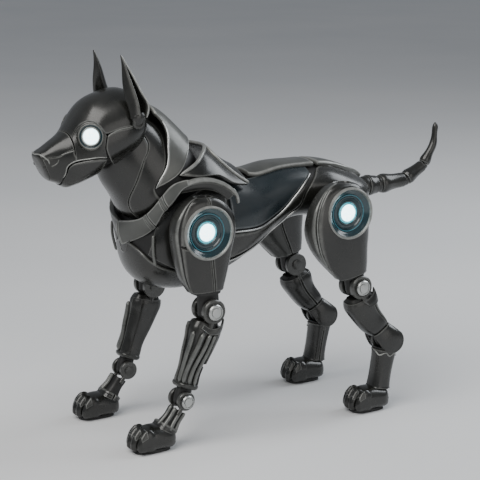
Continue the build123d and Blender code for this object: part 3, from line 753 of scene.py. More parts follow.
EAR_FRONT = [
    (27.0, -105.0, 221.0), (25.5, -105.9, 229.0), (23.3, -107.3, 236), (21.9, -108.0, 243),
    (20.9, -107.9, 250), (20.5, -108.0, 256), (20.1, -108.7, 261.6)
]
EAR_FLAP = [
    (29.4, -99.8, 221.0), (29.0, -100.3, 229.0), (27.4, -101.6, 236), (25.2, -103.2, 243),
    (22.9, -104.8, 250), (21.4, -106.4, 256), (20.3, -108.5, 261.6)
]
EAR_DEEP = [
    (23.0, -98.0, 221.0), (20.6, -99.0, 229.0), (19.4, -101.0, 236), (18.9, -102.8, 243),
    (18.8, -104.6, 250), (19.3, -106.5, 256), (19.9, -108.4, 261.6)
]
EAR_REAR = [
    (28.8, -94.6, 221.0), (28.0, -92.8, 229.0), (26.4, -96.0, 236), (24.6, -99.2, 243), (22.5, -102.2, 250),
    (20.9, -105.2, 256), (20.1, -108.2, 261.6)
]


def make_ears():
    """Tall pointed ears: a leaf rolled into a scoop that opens outward, with a thin satin rear rim that
    carries a painted highlight.
    """
    rows, across = 40, 28
    height, u = np.linspace(0, 1, rows), np.linspace(0, 1, across)
    edges = [through(curve)(height) for curve in (EAR_FLAP, EAR_FRONT, EAR_DEEP, EAR_REAR)]
    leaf = np.stack([through(section)(u) for section in zip(*edges)])
    along = np.gradient(leaf, axis=0)
    over = np.gradient(leaf, axis=1)
    normal = np.cross(over, along)
    normal /= np.linalg.norm(normal, axis=-1, keepdims=True)
    wall = 0.75 * (1 - 0.6 * height)[:, None] * np.interp(
        np.minimum(u, 1 - u), [0, 0.05], [0.35, 1.0]
    )[None, :]
    outer = (leaf + normal * wall[..., None] / 2).reshape(-1, 3)
    inner = (leaf - normal * wall[..., None] / 2).reshape(-1, 3)
    faces = layer_faces(rows, across)
    # painted edge highlight along the leaf's border
    leaf_edge_highlight = np.tile(np.interp(np.minimum(u, 1 - u), [0, 0.08], [0.8, 0.0]), rows)
    foot = Form(
        [(-100.0, 214.6, -90, 0.8, 1.0, 1.0, 2.2, 2.2), (-100.0, 216.2, -90, 2.0, 2.8, 2.8, 2.2, 2.2),
         (-99.8, 219.4, -90, 3.2, 4.6, 4.6, 2.2, 2.2), (-99.6, 222.6, -90, 3.4, 5.0, 5.0, 2.2, 2.2),
         (-99.4, 224.6, -90, 2.4, 4.0, 4.0, 2.2, 2.2)],
        26.4,
    )
    for side, word in SIDES:
        body = node = f"ear_{word}"
        piece(
            f"ear_leaf_{word}", body, node, GLOSS, np.vstack([outer, inner]),
            outward(np.vstack([outer, inner]), faces), side, np.tile(leaf_edge_highlight, 2)
        )
        bar(f"ear_rear_rim_{word}", body, node, SATIN, edges[3][::3], 0.6, side, rim=1.0)
        bar(f"ear_flap_rim_{word}", body, node, GLOSS, edges[0][::3], 0.5, side, rim=0.8)
        skin(f"ear_foot_{word}", body, node, GLOSS, foot, 0, None, 0, 24, 40, side)
        lug = [
            (0, 26.2), (3.8, 26.2), (4.2, 26.7), (4.2, 28.2), (3.8, 28.7), (2.6, 28.8), (2.3, 28.3),
            (0, 28.3)
        ]
        turned(f"ear_lug_{word}", body, node, GLOSS, (0, *EAR_HINGE), X_AXIS, lug, side, rim=0.2)


# ---- neck
FOLD = [
    (-64, 0.35), (-67, 1.2), (-65, 1.95), (-50, 2.65), (-34, 3.03), (-18, 3.30), (1, 3.50), (22, 3.75),
    (34, 4.5)
]
SHIELD_EDGE = [
    (-20, 1.86), (-10, 2.03), (8, 2.19), (22, 2.49), (36, 2.89), (52, 3.25), (60, 3.56), (66, 4.0),
    (70, 4.5)
]


def make_neck():
    body, node = "neck", "neck_shell"
    skin("neck_core", body, [node, "neck_post"], DARK, NECK, 0, None, -1.3, 40, 64)
    fold = shifted(FOLD, -0.5)
    throat_left = [(-180 - s, t) for s, t in fold]
    plate(
        "throat_cover", body, node, GLOSS, NECK, throat_left, fold,
        low=[throat_left[0], (-90, 0.35), fold[0]],
        high=[throat_left[-1], (-160, 5.0), (-90, 5.4), (-20, 5.0), fold[-1]],
        lift=0.0, thick=1.5, round_off=0.4, edge=0.9, grid=(48, 44),
    )
    for side, word in SIDES:
        edge = [(-22, 0.35), (-24, 1.3)] + shifted(SHIELD_EDGE, -1.5)
        front = shifted(FOLD, 0.5)
        plate(
            f"neck_side_{word}", body, node, GLOSS, NECK, front, edge,
            lift=0.0, thick=1.5, round_off=0.4, edge=0.9, side=side, grid=(36, 48), crown=0.5,
        )
    shield = "nape_shield"
    left = SHIELD_EDGE[:-1]
    low = [
        left[0], (16, 1.29), (38, 1.42), (90, 1.5), (142, 1.42), (164, 1.29), (180 - left[0][0], left[0][1])
    ]
    plate(
        "nape_cover", body, shield, SATIN, NAPE, left, other_side(left), low=low,
        high=[left[-1], (90, 4.3), (180 - left[-1][0], left[-1][1])],
        lift=0.9, thick=1.7, round_off=0.6, lip=0.2, edge=0.9, grid=(64, 40),
    )
    for side, word in SIDES:
        bar(f"nape_rim_{word}", body, shield, METAL, on_form(NAPE, left[:-1], 0.85, 40)[::3], 0.6, side)


# ---- torso
SEAM_ONE = [
    (-7, 4.95), (-12, 5.51), (-16, 5.92), (-18, 6.31), (-17, 6.74), (-8, 7.14), (8, 7.53), (32, 8.06)
]
SEAM_TWO_VIEW = [(-34.0, 118.0), (-20.0, 121.0), (-8.6, 125.5), (4.3, 133.4), (18.0, 144.6), (23.0, 147.6)]


def make_torso():
    body = "torso"
    front, rears = "chest_shell", ["body_shell_left", "body_shell_right"]
    skin("torso_core", body, [front] + rears, DARK, TORSO, 0, None, -1.5, 80, 72)
    plate(
        "chest_bib", body, front, GLOSS, TORSO,
        [(-180, 0.0), (-166, 1.6), (-150, 2.6), (-128, 4.2)],
        [(0, 0.0), (-14, 1.6), (-30, 2.6), (-52, 4.2)],
        lift=0.2, thick=1.6, lip=0.2, edge=0.9, grid=(56, 44),
    )
    skin("chest_tip", body, front, GLOSS, TORSO, 0.0, 0.5, 0.12, 12, 72)
    belly = [(-127, 4.3), (-125, 5.2), (-128, 6.2)]
    plate(
        "belly_cover", body, front, GLOSS, TORSO, belly, [(-180 - s, t) for s, t in belly],
        lift=0.1, thick=1.6, lip=0.1, grid=(30, 30),
    )
    one, two = SEAM_ONE, seen(TORSO, *SEAM_TWO_VIEW)
    for side, word in SIDES:
        rear = f"body_shell_{word}"
        plate(
            f"ribcage_{word}", body, front, GLOSS, TORSO,
            [(-12, 1.9), (-27, 2.7), (-49, 4.2), (-50, 4.85)], [(38, 2.4), (48, 3.6), (60, 4.85)],
            lift=0.1, thick=1.6, lip=0.0, side=side, grid=(40, 40),
        )
        roof = [(60, 4.95), (62, 5.6), (60, 6.3), (56, 7.1), (52, 8.1)]
        # the flank panel's blue tint is a painted reflection
        plate(
            f"flank_panel_{word}", body, rear, BLACK_BLUE_REFLECTION, TORSO, shifted(one, 2.4), roof,
            lift=0.2, thick=1.8, lip=0.0, edge=0.8, side=side, grid=(30, 44), crown=1.0,
        )
        low, high = shifted(two, 2.2) + [(4, 7.7), (29, 8.1)], shifted(one, -2.2)
        plate(
            f"sweep_panel_{word}", body, rear, GLOSS, TORSO, low, high,
            lift=0.2, thick=1.6, lip=0.0, edge=0.8, side=side, grid=(24, 44), crown=0.3,
        )
        bar(f"sweep_rim_upper_{word}", body, rear, METAL, on_form(TORSO, one, 0.55, 40)[::3], 0.62, side)
        bar(f"sweep_rim_lower_{word}", body, rear, METAL, on_form(TORSO, two, 0.55, 40)[::3], 0.62, side)
        keel = [(-89.0, two[0][1]), (-88.0, 6.5), (-87.5, 8.0), (-87.0, 11.2)]
        crest = shifted(two, -2.2) + [(0, 7.75), (34, 8.3), (56, 8.9), (46, 10.2), (25, 11.2)]
        plate(
            f"loin_cover_{word}", body, rear, GLOSS, TORSO, keel, crest,
            lift=0.0, thick=1.6, lip=0.05, edge=0.8, side=side, grid=(40, 60),
        )
    make_spine(body)
    make_collar(body)
    make_cowl(body)
    make_belly_fittings()


def make_spine(body):
    edge_front = [(66, 6.02), (58, 6.3), (52, 7.2), (54, 8.45)]
    edge_rear = [(54, 8.6), (56, 9.4), (60, 10.2), (74, 10.95)]
    for name, edge in (("front", edge_front), ("rear", edge_rear)):
        plate(
            f"spine_plate_{name}", body, "spine_plates", SATIN, TORSO, edge, other_side(edge),
            lift=2.7, thick=2.6, round_off=1.1, lip=0.1, edge=1.1, grid=(44, 44),
        )


class Strip(Surface):
    """A band between two curves in space: s runs over it from 0 to 100, t counts along the curves' points."""

    step_s, step_t = 1, 0.05

    def __init__(self, lower, upper, centre, bow):
        self.edges = [Spline(np.arange(len(curve)), curve) for curve in (lower, upper)]
        self.last = len(lower) - 1
        self.centre = np.array(centre, float)
        self.bow = bow

    def raw(self, s, t):
        s, t = np.broadcast_arrays(np.asarray(s, float), np.asarray(t, float))
        lower, upper = (edge(t) for edge in self.edges)
        share = (s / 100)[..., None]
        point = lower * (1 - share) + upper * share
        outside = point - self.centre
        outside[..., 2] = 0
        outside /= np.linalg.norm(outside, axis=-1, keepdims=True)
        width = np.linalg.norm(upper - lower, axis=-1, keepdims=True)
        return point + outside * self.bow * width * 4 * share * (1 - share), outside


COLLAR = Strip(
    [
        (0, -99.5, 132), (18, -93.2, 140), (27, -87.5, 148.3), (33, -85.7, 157), (38, -81.1, 164.3),
        (41.6, -77.0, 172.0), (43.0, -72, 176), (43.3, -61, 177.4), (43.5, -52, 175.8),
        (43.5, -46, 172.6), (43.5, -42.6, 169.4),
    ],
    [
        (0, -102.2, 149.2), (18.75, -98.6, 152.6), (27, -94.5, 157.5), (33, -90.5, 165),
        (38, -86, 173.5), (41, -81, 178.5), (43, -73, 180.5), (43.5, -61, 180.6), (43.5, -52, 179.3),
        (43.5, -45.7, 174.9), (43.5, -41.6, 170.4),
    ],
    (0, -40, 150), 0.10,
)


def round_shoulder(angle, radius, x):
    """A point about the shoulder's axis: 0 in front, -90 above."""
    turn = math.radians(angle)
    return (x, SHOULDER[0] - radius * math.cos(turn), SHOULDER[1] - radius * math.sin(turn))


ARCH_LOWER = [
    (-137, 27, 40.6), (-120, 27, 41.2), (-100, 27, 41.4), (-80, 27.4, 41.2), (-66, 28.8, 40.4),
    (-55, 31.2, 38.8), (-46, 34.4, 36.4),
]
ARCH_UPPER = [
    (-137, 33, 42.6), (-120, 33, 42.9), (-100, 33, 42.9), (-80, 33.2, 42.7), (-66, 33.6, 41.9),
    (-55, 34.8, 39.8), (-46, 36.4, 36.8),
]
ARCH = Strip(
    *([round_shoulder(*spot) for spot in edge] for edge in (ARCH_LOWER, ARCH_UPPER)), (0, -61, 150), 0.12
)


def make_collar(body):
    stretches = [(0.02, 1.66, 0), (1.68, 1.94, 1), (1.96, 3.28, 0), (3.3, 3.58, 1), (3.6, 6.1, 0)]
    for side, word in SIDES:
        for number, (start, end, joint) in enumerate(stretches, 1):
            wrap_plate(
                f"collar_{number}_{word}", body, "collar_band", SATIN, COLLAR, (0, 100), (start, end), side,
                lift=0.35 if joint else 0.15, thick=3.0, edge=0.35 if joint else 0.7,
                round_off=0.3 if joint else 0.45, lip=0.0 if joint else 0.1,
                grid=(22, 44 if number == 5 else 20),
            )
        wrap_plate(
            f"shoulder_arch_{word}", body, "collar_band", GLOSS, ARCH, (0, 100), (0, ARCH.last), side,
            lift=0.0, thick=2.4, edge=0.6, round_off=0.4, lip=0.1, grid=(20, 60),
        )
        rim = [
            (32.2, 38.0), (35.0, 38.0), (35.5, 39.0), (35.5, 42.4), (35.1, 43.3), (34.1, 43.7),
            (33.2, 43.5), (32.4, 42.6), (32.2, 38.0)
        ]
        turned(
            f"arch_rim_{word}", body, "collar_band", SATIN, (0, *SHOULDER), X_AXIS, rim, side, 64, 0.7,
            (-138.0, -70.5)
        )
        strut = [(30.2, -91.6, 143.0), (30.4, -91.8, 136.0), (29.6, -91.0, 129.0), (28.8, -89.4, 122.0)]
        bar(f"bib_strut_{word}", body, "chest_shell", SATIN, strut, 1.0, side, rim=0.2)


def make_cowl(body):
    """The hood behind the neck, with a thick satin rim round the neck opening that carries a painted
    highlight.
    """
    rim = [(40, 1.0), (44, 1.43), (52, 1.75), (64, 2.07), (78, 2.36), (90, 2.44)]
    front = rim + other_side(rim[:-1])[::-1]
    side_low = [(40, 1.0), (33, 1.57), (36, 2.3), (35, 2.8), (37, 3.25), (41, 3.69)]
    rear = [side_low[-1], (66, 3.55), (90, 3.5), (114, 3.55), (139, 3.69)]
    plate(
        "withers_hood", body, "withers_cowl", GLOSS, COWL, side_low, other_side(side_low), low=front,
        high=rear,
        lift=0.0, thick=2.0, round_off=0.5, lip=0.0, edge=0.8, grid=(72, 44),
    )
    bar("withers_rim", body, "withers_cowl", SATIN, on_form(COWL, front, 0.1, 60)[::3], 1.35, rim=0.8)
    for side, word in SIDES:
        fold = [(78, 2.36), (68, 2.4), (57, 2.6), (51, 3.07), (46, 3.4), (42, 3.69)]
        bar(
            f"withers_crease_{word}", body, "withers_cowl", SATIN, on_form(COWL, fold, 0.35, 40)[::3], 1.0,
            side, rim=1.0
        )
        lower = on_form(COWL, side_low, 0.1, 40)
        bar(f"withers_hem_{word}", body, "withers_cowl", GLOSS, lower[::3], 0.5, side, rim=0.6)
        fin = [(38.6, -36.2, 170.6), (40.2, -34.6, 167.6), (40.2, -33.0, 164.0), (38.6, -31.6, 160.6)]
        bar(f"arch_fin_{word}", body, "withers_cowl", SATIN, fin, 1.3, side, rim=0.9)


def recolour(node, material):
    """Gives a CAD piece that keeps its own shape a finished material."""
    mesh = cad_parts[node].data
    mesh.materials.clear()
    mesh.materials.append(material)


def make_belly_fittings():
    kept = {
        "battery_door": GLOSS, "body_screws": METAL, "power_switch": SATIN, "circuit_board": BOARD,
        "chassis_frame": DARK, "servo_motors": DARK, "battery_pack": BLACK_BLUE_REFLECTION, "speaker": DARK,
    }
    for node, material in kept.items():
        recolour(node, material)


# ---- legs
LIMB_BOX = 2.9  # how square a limb's section is: 2 is round


def bone(stations):
    """A form down a leg from (y, z, lean, half thickness, rear, front) rows; 90 is rear, 0 is outer."""
    return Form([(*row[:2], -row[2], *row[3:], LIMB_BOX, LIMB_BOX) for row in stations], LEG_MID)


UPPER_ARM = bone(
    [
        (-61.0, 168.6, 90, 3.4, 3.0, 3.0),
        (-61.0, 167.0, 90, 6.2, 9.6, 9.6),
        (-61.0, 162.0, 90, 8.2, 16.6, 16.6),
        (-61.0, 154.0, 90, 9.0, 22.0, 22.0),
        (-61.0, 145.0, 90, 9.2, 23.6, 23.8),
        (-60.6, 134.0, 90, 9.2, 20.6, 22.8),
        (-59.6, 122.0, 88, 9.0, 16.8, 21.0),
        (-58.4, 111.0, 88, 8.8, 12.4, 17.2),
        (-57.6, 102.5, 88, 8.2, 9.0, 11.8),
    ]
)
FOREARM = bone(
    [
        (-59.5, 84.5, 100, 7.0, 9.0, 9.6),
        (-60.6, 80.5, 102, 8.4, 11.2, 11.2),
        (-63.0, 73.0, 106, 8.6, 10.8, 10.6),
        (-67.5, 61.0, 110, 8.2, 8.6, 9.2),
        (-72.5, 48.5, 110, 7.6, 7.2, 7.6),
        (-75.4, 40.6, 108, 7.2, 6.6, 6.6),
        (-76.0, 38.8, 106, 5.8, 5.2, 5.2),
    ]
)
THIGH = bone(
    [
        (50.0, 168.0, 90, 3.4, 3.4, 3.4),
        (49.6, 166.4, 90, 6.4, 9.6, 9.8),
        (49.0, 161.0, 90, 8.4, 16.4, 17.2),
        (48.4, 152.0, 90, 9.2, 21.4, 23.2),
        (47.0, 141.0, 90, 9.4, 23.4, 25.6),
        (47.2, 130.0, 90, 9.4, 23.0, 25.2),
        (50.8, 118.0, 84, 9.2, 18.6, 20.6),
        (55.6, 107.0, 80, 8.8, 13.6, 14.4),
        (58.6, 100.0, 76, 8.0, 10.0, 10.0),
    ]
)
SHIN = bone(
    [
        (64.0, 85.6, 76, 7.0, 10.0, 8.6),
        (65.4, 82.2, 72, 8.4, 11.8, 11.4),
        (68.6, 75.6, 66, 8.6, 11.0, 11.2),
        (75.0, 67.0, 56, 8.4, 9.0, 10.0),
        (80.6, 60.6, 56, 8.0, 7.8, 8.6),
        (82.2, 58.6, 56, 6.6, 6.6, 7.2),
    ]
)
METATARSUS = bone(
    [
        (89.4, 53.0, 96, 5.6, 6.4, 6.4),
        (89.0, 50.6, 96, 7.4, 8.0, 8.2),
        (88.0, 43.0, 98, 7.8, 8.2, 8.4),
        (86.0, 32.0, 99, 7.4, 7.2, 7.4),
        (84.0, 21.0, 99, 7.6, 7.0, 7.2),
        (83.0, 15.0, 96, 8.0, 7.6, 7.8),
    ]
)
PASTERN = bone(
    [
        (-80.0, 28.4, 125, 5.4, 5.4, 5.4),
        (-82.0, 25.8, 126, 6.6, 5.8, 5.8),
        (-86.0, 20.6, 126, 6.8, 5.6, 5.6),
        (-90.5, 15.2, 124, 8.2, 7.2, 6.6),
        (-92.5, 12.6, 120, 8.6, 7.6, 7.0),
    ]
)


def make_hub(prefix, side, body, centre):
    """The dished hub: a satin bezel with a painted highlight, stepped rings in a dark dish, and the light in
    its middle.
    """
    spot = (0, *centre)
    node = f"{prefix}_hub"
    ring = [
        (16.3, 46.0), (18.3, 46.0), (18.3, 51.4), (18.0, 52.1), (17.5, 52.4), (17.0, 52.3), (16.6, 51.8),
        (16.3, 51.0), (16.3, 46.0)
    ]
    turned(f"{prefix}_hub_bezel", body, node, SATIN, spot, X_AXIS, ring, side, 96, 0.8)
    dish = [
        (7.4, 46.2), (7.4, 48.0), (7.9, 48.5), (8.6, 48.5), (9.0, 48.0), (10.4, 47.9), (10.9, 48.5),
        (11.5, 48.6), (11.9, 48.2), (13.4, 48.7), (14.2, 49.6), (15.0, 50.0), (16.2, 50.9),
        (16.2, 46.2), (7.4, 46.2),
    ]
    turned(f"{prefix}_hub_dish", body, node, TEAL, spot, X_AXIS, dish, side, 96)
    line = [(12.3, 48.0), (12.3, 48.75), (12.9, 48.9), (12.9, 48.0), (12.3, 48.0)]
    turned(f"{prefix}_hub_glow_line", body, node, DIM_GLOW, spot, X_AXIS, line, side, 96)
    axle = [(0, 22), (5, 22), (5, 46.2), (0, 46.2)]
    turned(f"{prefix}_hub_axle", body, node, METAL, spot, X_AXIS, axle, side, 40)
    lens = [(0, 50.0), (2.2, 49.9), (4.2, 49.5), (5.5, 48.8), (5.8, 48.0), (5.8, 46.4), (0, 46.4)]
    turned(f"{prefix}_light_lens", body, f"{prefix}_light", WHITE_GLOW, spot, X_AXIS, lens, side, 64)
    halo = [(5.9, 48.6), (7.3, 48.2), (7.3, 46.4), (5.9, 46.4), (5.9, 48.6)]
    turned(f"{prefix}_light_halo", body, f"{prefix}_light", CYAN_GLOW, spot, X_AXIS, halo, side, 64)


# a pin's shaft radius, inner end, outer end and cap radius
BIG_PIN, WRIST_PIN, HOCK_PIN = (2.5, 32.7, 53.8, 5.4), (2.0, 34.0, 52.6, 4.6), (2.0, 34.0, 52.6, 4.2)


def make_pin(prefix, side, body, centre, shaft, x_low, x_high, r, finish=METAL):
    """A capped joint pin: a dark head on the inner side, turned rings on the outer cap."""
    spot = (0, *centre)
    head = [
        (0, x_low), (r * 0.6, x_low), (r * 0.72, x_low + 0.2), (r * 0.72, x_low + 0.9), (0, x_low + 0.9)
    ]
    turned(
        f"{prefix}_pin_head_{int(centre[1])}", body, f"{prefix}_pins", GLOSS, spot, X_AXIS, head, side,
        48, 0.3
    )
    cap = [
        (0, x_low + 0.95), (shaft, x_low + 0.95), (shaft, x_high - 2.4), (r, x_high - 2.4),
        (r, x_high - 0.9), (r - 0.6, x_high - 0.3), (r * 0.80, x_high - 0.25), (r * 0.76, x_high - 0.8),
        (r * 0.62, x_high - 0.8),
        (r * 0.58, x_high - 0.15), (r * 0.3, x_high), (0, x_high),
    ]
    turned(
        f"{prefix}_pin_{int(centre[1])}", body, f"{prefix}_pins", finish, spot, X_AXIS, cap, side, 56,
        0.2
    )


TONGUE_MID, TONGUE_BOX = 42.5, 2.6  # where across the leg a tongue lies, and how square it is
BIG_FORK = ((47.5, 51.4), (33.6, 37.3))
BIG_CHEEK = [
    (0, 0, 0), (8.0, 0, 0), (8.4, 0, 0.4), (8.4, 1, -0.7), (7.7, 1, 0), (6.5, 1, -0.1), (6.1, 1, -0.5),
    (0, 1, -0.5)
]
WRIST_CHEEK = [(0, 0, 0), (6.0, 0, 0), (6.4, 0, 0.4), (6.4, 1, -0.6), (5.8, 1, 0), (0, 1, 0)]
HOCK_CHEEK = [
    (0, 0, 0), (8.2, 0, 0), (8.6, 0, 0.4), (8.6, 1, -0.7), (7.9, 1, 0), (6.4, 1, 0), (6.0, 1, -0.4),
    (0, 1, -0.4)
]


def make_fork(node, body, pivot, faces, outline, root, thick, side, around=64, rim=0.4):
    """A joint's two round cheeks and their roots; an outline row is radius, which face, how far past."""
    for span, tag in zip(faces, ("outer", "inner")):
        cheek = [(radius, span[face] + past) for radius, face, past in outline]
        turned(f"{node}_cheek_{tag}", body, node, GLOSS, (0, *pivot), X_AXIS, cheek, side, around, rim)
        path = [((span[0] + span[1]) / 2, y, z) for y, z in root]
        bar(f"{node}_cheek_root_{tag}", body, node, GLOSS, path, thick, side, rim=0.2)


def make_tongue(name, body, node, lean, rows, grid, side):
    """The flat tongue that a fork's cheeks hold, from rows of (y, z, half thickness, reach)."""
    form = Form(
        [(y, z, lean, half, reach, reach, TONGUE_BOX, TONGUE_BOX) for y, z, half, reach in rows], TONGUE_MID
    )
    skin(name, body, node, DARK, form, 0, None, 0, *grid, side)


def make_cup(name, body, node, material, form, across, pivot, sweep, side, flips=(1,)):
    """A lip that grows out of a limb's cover and holds a joint's disc; flips says on which of its sides."""
    root = on_form(form, across, 0.6)
    low = root[np.linspace(0, len(root) - 1, len(sweep)).astype(int)]
    high = [
        (x, pivot[0] + r * math.cos(math.radians(a)), pivot[1] + r * math.sin(math.radians(a))) for a, r,
        x in sweep
    ]
    for flip in flips:
        lower, upper = (
            [(LEG_MID + flip * (x - LEG_MID), y, z) for x, y, z in curve] for curve in (low, high)
        )
        strip = Strip(lower, upper, (LEG_MID - flip * 60, pivot[0], 0), 0.06)
        wrap_plate(
            name + ("_outer" if flip > 0 else "_inner"), body, node, material, strip, (0, 100),
            (0, strip.last), side, lift=0.0, thick=1.3, edge=0.5, round_off=0.4, lip=0.25, grid=(18, 44),
        )


HUB_SEAT = (16.9, 46.3)  # the radius and the floor of the round seat that a hub is let into
SHOULDER_WELL, HIP_WELL = (((0, *centre), X_AXIS, *HUB_SEAT) for centre in (SHOULDER, HIP))


def make_front_leg(side, word):
    prefix = f"front_{word}"
    upper, lower, foot = f"{prefix}_upper", f"{prefix}_lower", f"{prefix}_foot"
    arm = f"{prefix}_upper_arm"
    skin(f"{arm}_core", upper, arm, DARK, UPPER_ARM, 0, None, -0.9, 48, 64, side, SHOULDER_WELL)
    rim = [(-66, 0.4), (-70, 2.2), (-73, 4.0), (-72, 5.6), (-76, 7.75)]
    plate(
        f"{arm}_front_rim", upper, arm, GRAPHITE, UPPER_ARM, [(-178, 0.4), (-178, 7.75)],
        shifted(rim, -1.6),
        lip=0.15, edge=0.8, side=side, grid=(44, 60),
    )
    split = [(-72, 4.7), (-40, 4.95), (-12, 4.6), (2, 4.35)]
    upper_rim = [(-66, 0.4), (-70, 2.2), (-72, 4.65)]
    plate(
        f"{arm}_front_cover", upper, arm, GLOSS, UPPER_ARM, upper_rim, [(2, 0.4), (2, 4.3)],
        high=[(s, t - 0.05) for s, t in split],
        lift=0.3, lip=0.1, edge=0.8, side=side, grid=(50, 50), well=SHOULDER_WELL,
    )
    plate(
        f"{arm}_front_lower", upper, arm, GLOSS, UPPER_ARM, [(-72, 4.75), (-72, 5.6), (-76, 7.75)],
        [(2, 4.4), (2, 7.75)],
        low=[(s, t + 0.05) for s, t in split], lift=0.3, lip=0.1, edge=0.8, side=side, grid=(50, 44),
        well=SHOULDER_WELL,
    )
    strip_look = {"lift": 0.2, "edge": 0.5, "grid": (12, 34), "well": SHOULDER_WELL}
    wrap_plate(
        f"{arm}_middle_strip", upper, arm, GLOSS, UPPER_ARM, (3.4, 11.6), (4.35, 7.75), side, **strip_look
    )
    wrap_plate(
        f"{arm}_rear_cover", upper, arm, GLOSS, UPPER_ARM, (13, 180), (0.4, 7.75), side,
        lift=0.3, lip=0.1, edge=0.8, grid=(60, 60), well=SHOULDER_WELL,
    )
    wrap_plate(
        f"{arm}_top_strip", upper, arm, GLOSS, UPPER_ARM, (3.4, 11.6), (0.4, 4.25), side, **strip_look
    )
    tongue = [
        (-57.8, 106.0, 4.2, 7.6), (-57.4, 98.0, 4.2, 7.8), (-57.0, 91.0, 4.2, 7.9), (-57.0, 86.0, 4.2, 6.2),
        (-57.0, 83.4, 4.2, 2.0)
    ]
    make_tongue(f"{arm}_tongue", upper, arm, -88, tongue, (28, 40), side)
    make_hub(prefix, side, upper, SHOULDER)

    forearm = f"{prefix}_forearm"
    skin(f"{forearm}_core", lower, forearm, GLOSS, FOREARM, 0, None, -1.0, 40, 56, side)
    cup = [
        (-136, 10.6, 49.9), (-118, 10.9, 50.3), (-98, 11.3, 50.7), (-78, 11.4, 50.8), (-56, 10.8, 50.4),
        (-34, 10.0, 49.2)
    ]
    make_cup(
        f"{forearm}_cup", lower, forearm, GRAPHITE, FOREARM, [(-38, 1.15), (4, 1.55), (62, 1.35)], ELBOW,
        cup, side
    )
    for number, (top, foot_s, radius) in enumerate(
        ((-60, -70, 1.5), (-22, -44, 1.6), (14, -16, 1.5), (38, 14, 1.3)), 1
    ):
        rail = [(top, 1.5), (top * 0.6 + foot_s * 0.4, 2.6), (foot_s, 4.0), (foot_s + 3, 5.0)]
        bar(
            f"{forearm}_rail_{number}", lower, forearm, GRAPHITE, on_form(FOREARM, rail, -0.35)[::3],
            radius, side, flat=1.25
        )
    wrap_plate(
        f"{forearm}_inner_cover", lower, forearm, GLOSS, FOREARM, (104, 262), (0.7, 5.3), side, lift=0.0,
        lip=0.2, grid=(36, 36)
    )
    wrap_plate(
        f"{forearm}_rear_pad", lower, forearm, GLOSS, FOREARM, (42, 98), (0.8, 3.3), side, lift=0.3,
        lip=0.3, crown=0.6, grid=(24, 30)
    )
    wrap_plate(
        f"{forearm}_rear_lower", lower, forearm, DARK, FOREARM, (42, 98), (3.45, 5.3), side, lift=-0.2,
        lip=0.1, grid=(24, 24)
    )
    root = [(-57.4, 88.0), (-58.6, 83.5), (-60.0, 79.5)]
    make_fork(forearm, lower, ELBOW, BIG_FORK, BIG_CHEEK, root, 1.9, side)
    make_pin(prefix, side, lower, ELBOW, *BIG_PIN)
    make_pin(prefix, side, lower, WRIST, *WRIST_PIN)
    tongue = [
        (-75.0, 42.4, 3.2, 5.0), (-76.4, 37.4, 3.6, 5.6), (-78.0, 32.0, 3.6, 5.8), (-78.6, 28.0, 3.0, 4.2),
        (-78.9, 26.4, 1.6, 1.6)
    ]
    make_tongue(f"{forearm}_wrist_tongue", lower, forearm, -106, tongue, (26, 36), side)
    cuff = bone(
        [
            (-74.3, 43.4, 108, 7.4, 6.8, 7.0), (-74.7, 42.6, 108, 8.3, 7.7, 7.9),
            (-75.3, 40.8, 108, 8.3, 7.6, 7.8), (-75.6, 39.8, 108, 7.2, 6.6, 6.8)
        ]
    )
    skin(f"{forearm}_wrist_band", lower, forearm, GRAPHITE, cuff, 0, None, 0, 14, 56, side)

    pastern = f"{prefix}_pastern"
    skin(f"{pastern}_core", foot, pastern, DARK, PASTERN, 1.0, None, -1.3, 30, 48, side)
    for number, s in enumerate((-75, -38, 0, 38), 1):
        rail = [(s, 0.9), (s, 2.0), (s, 3.0), (s, 3.8)]
        bar(
            f"{pastern}_rail_{number}", foot, pastern, GRAPHITE, on_form(PASTERN, rail, -0.5)[::4], 1.3,
            side
        )
    wrap_plate(
        f"{pastern}_cuff", foot, pastern, GLOSS, PASTERN, (-178, 178), (2.75, 4.0), side, lift=0.3, lip=0.3,
        grid=(60, 18)
    )
    root = [(-79.6, 29.4), (-82.2, 26.2), (-84.6, 23.0)]
    make_fork(pastern, foot, WRIST, ((46.9, 49.9), (34.8, 37.8)), WRIST_CHEEK, root, 1.5, side, 48)
    make_paw(prefix, side, foot, FRONT_PAW)


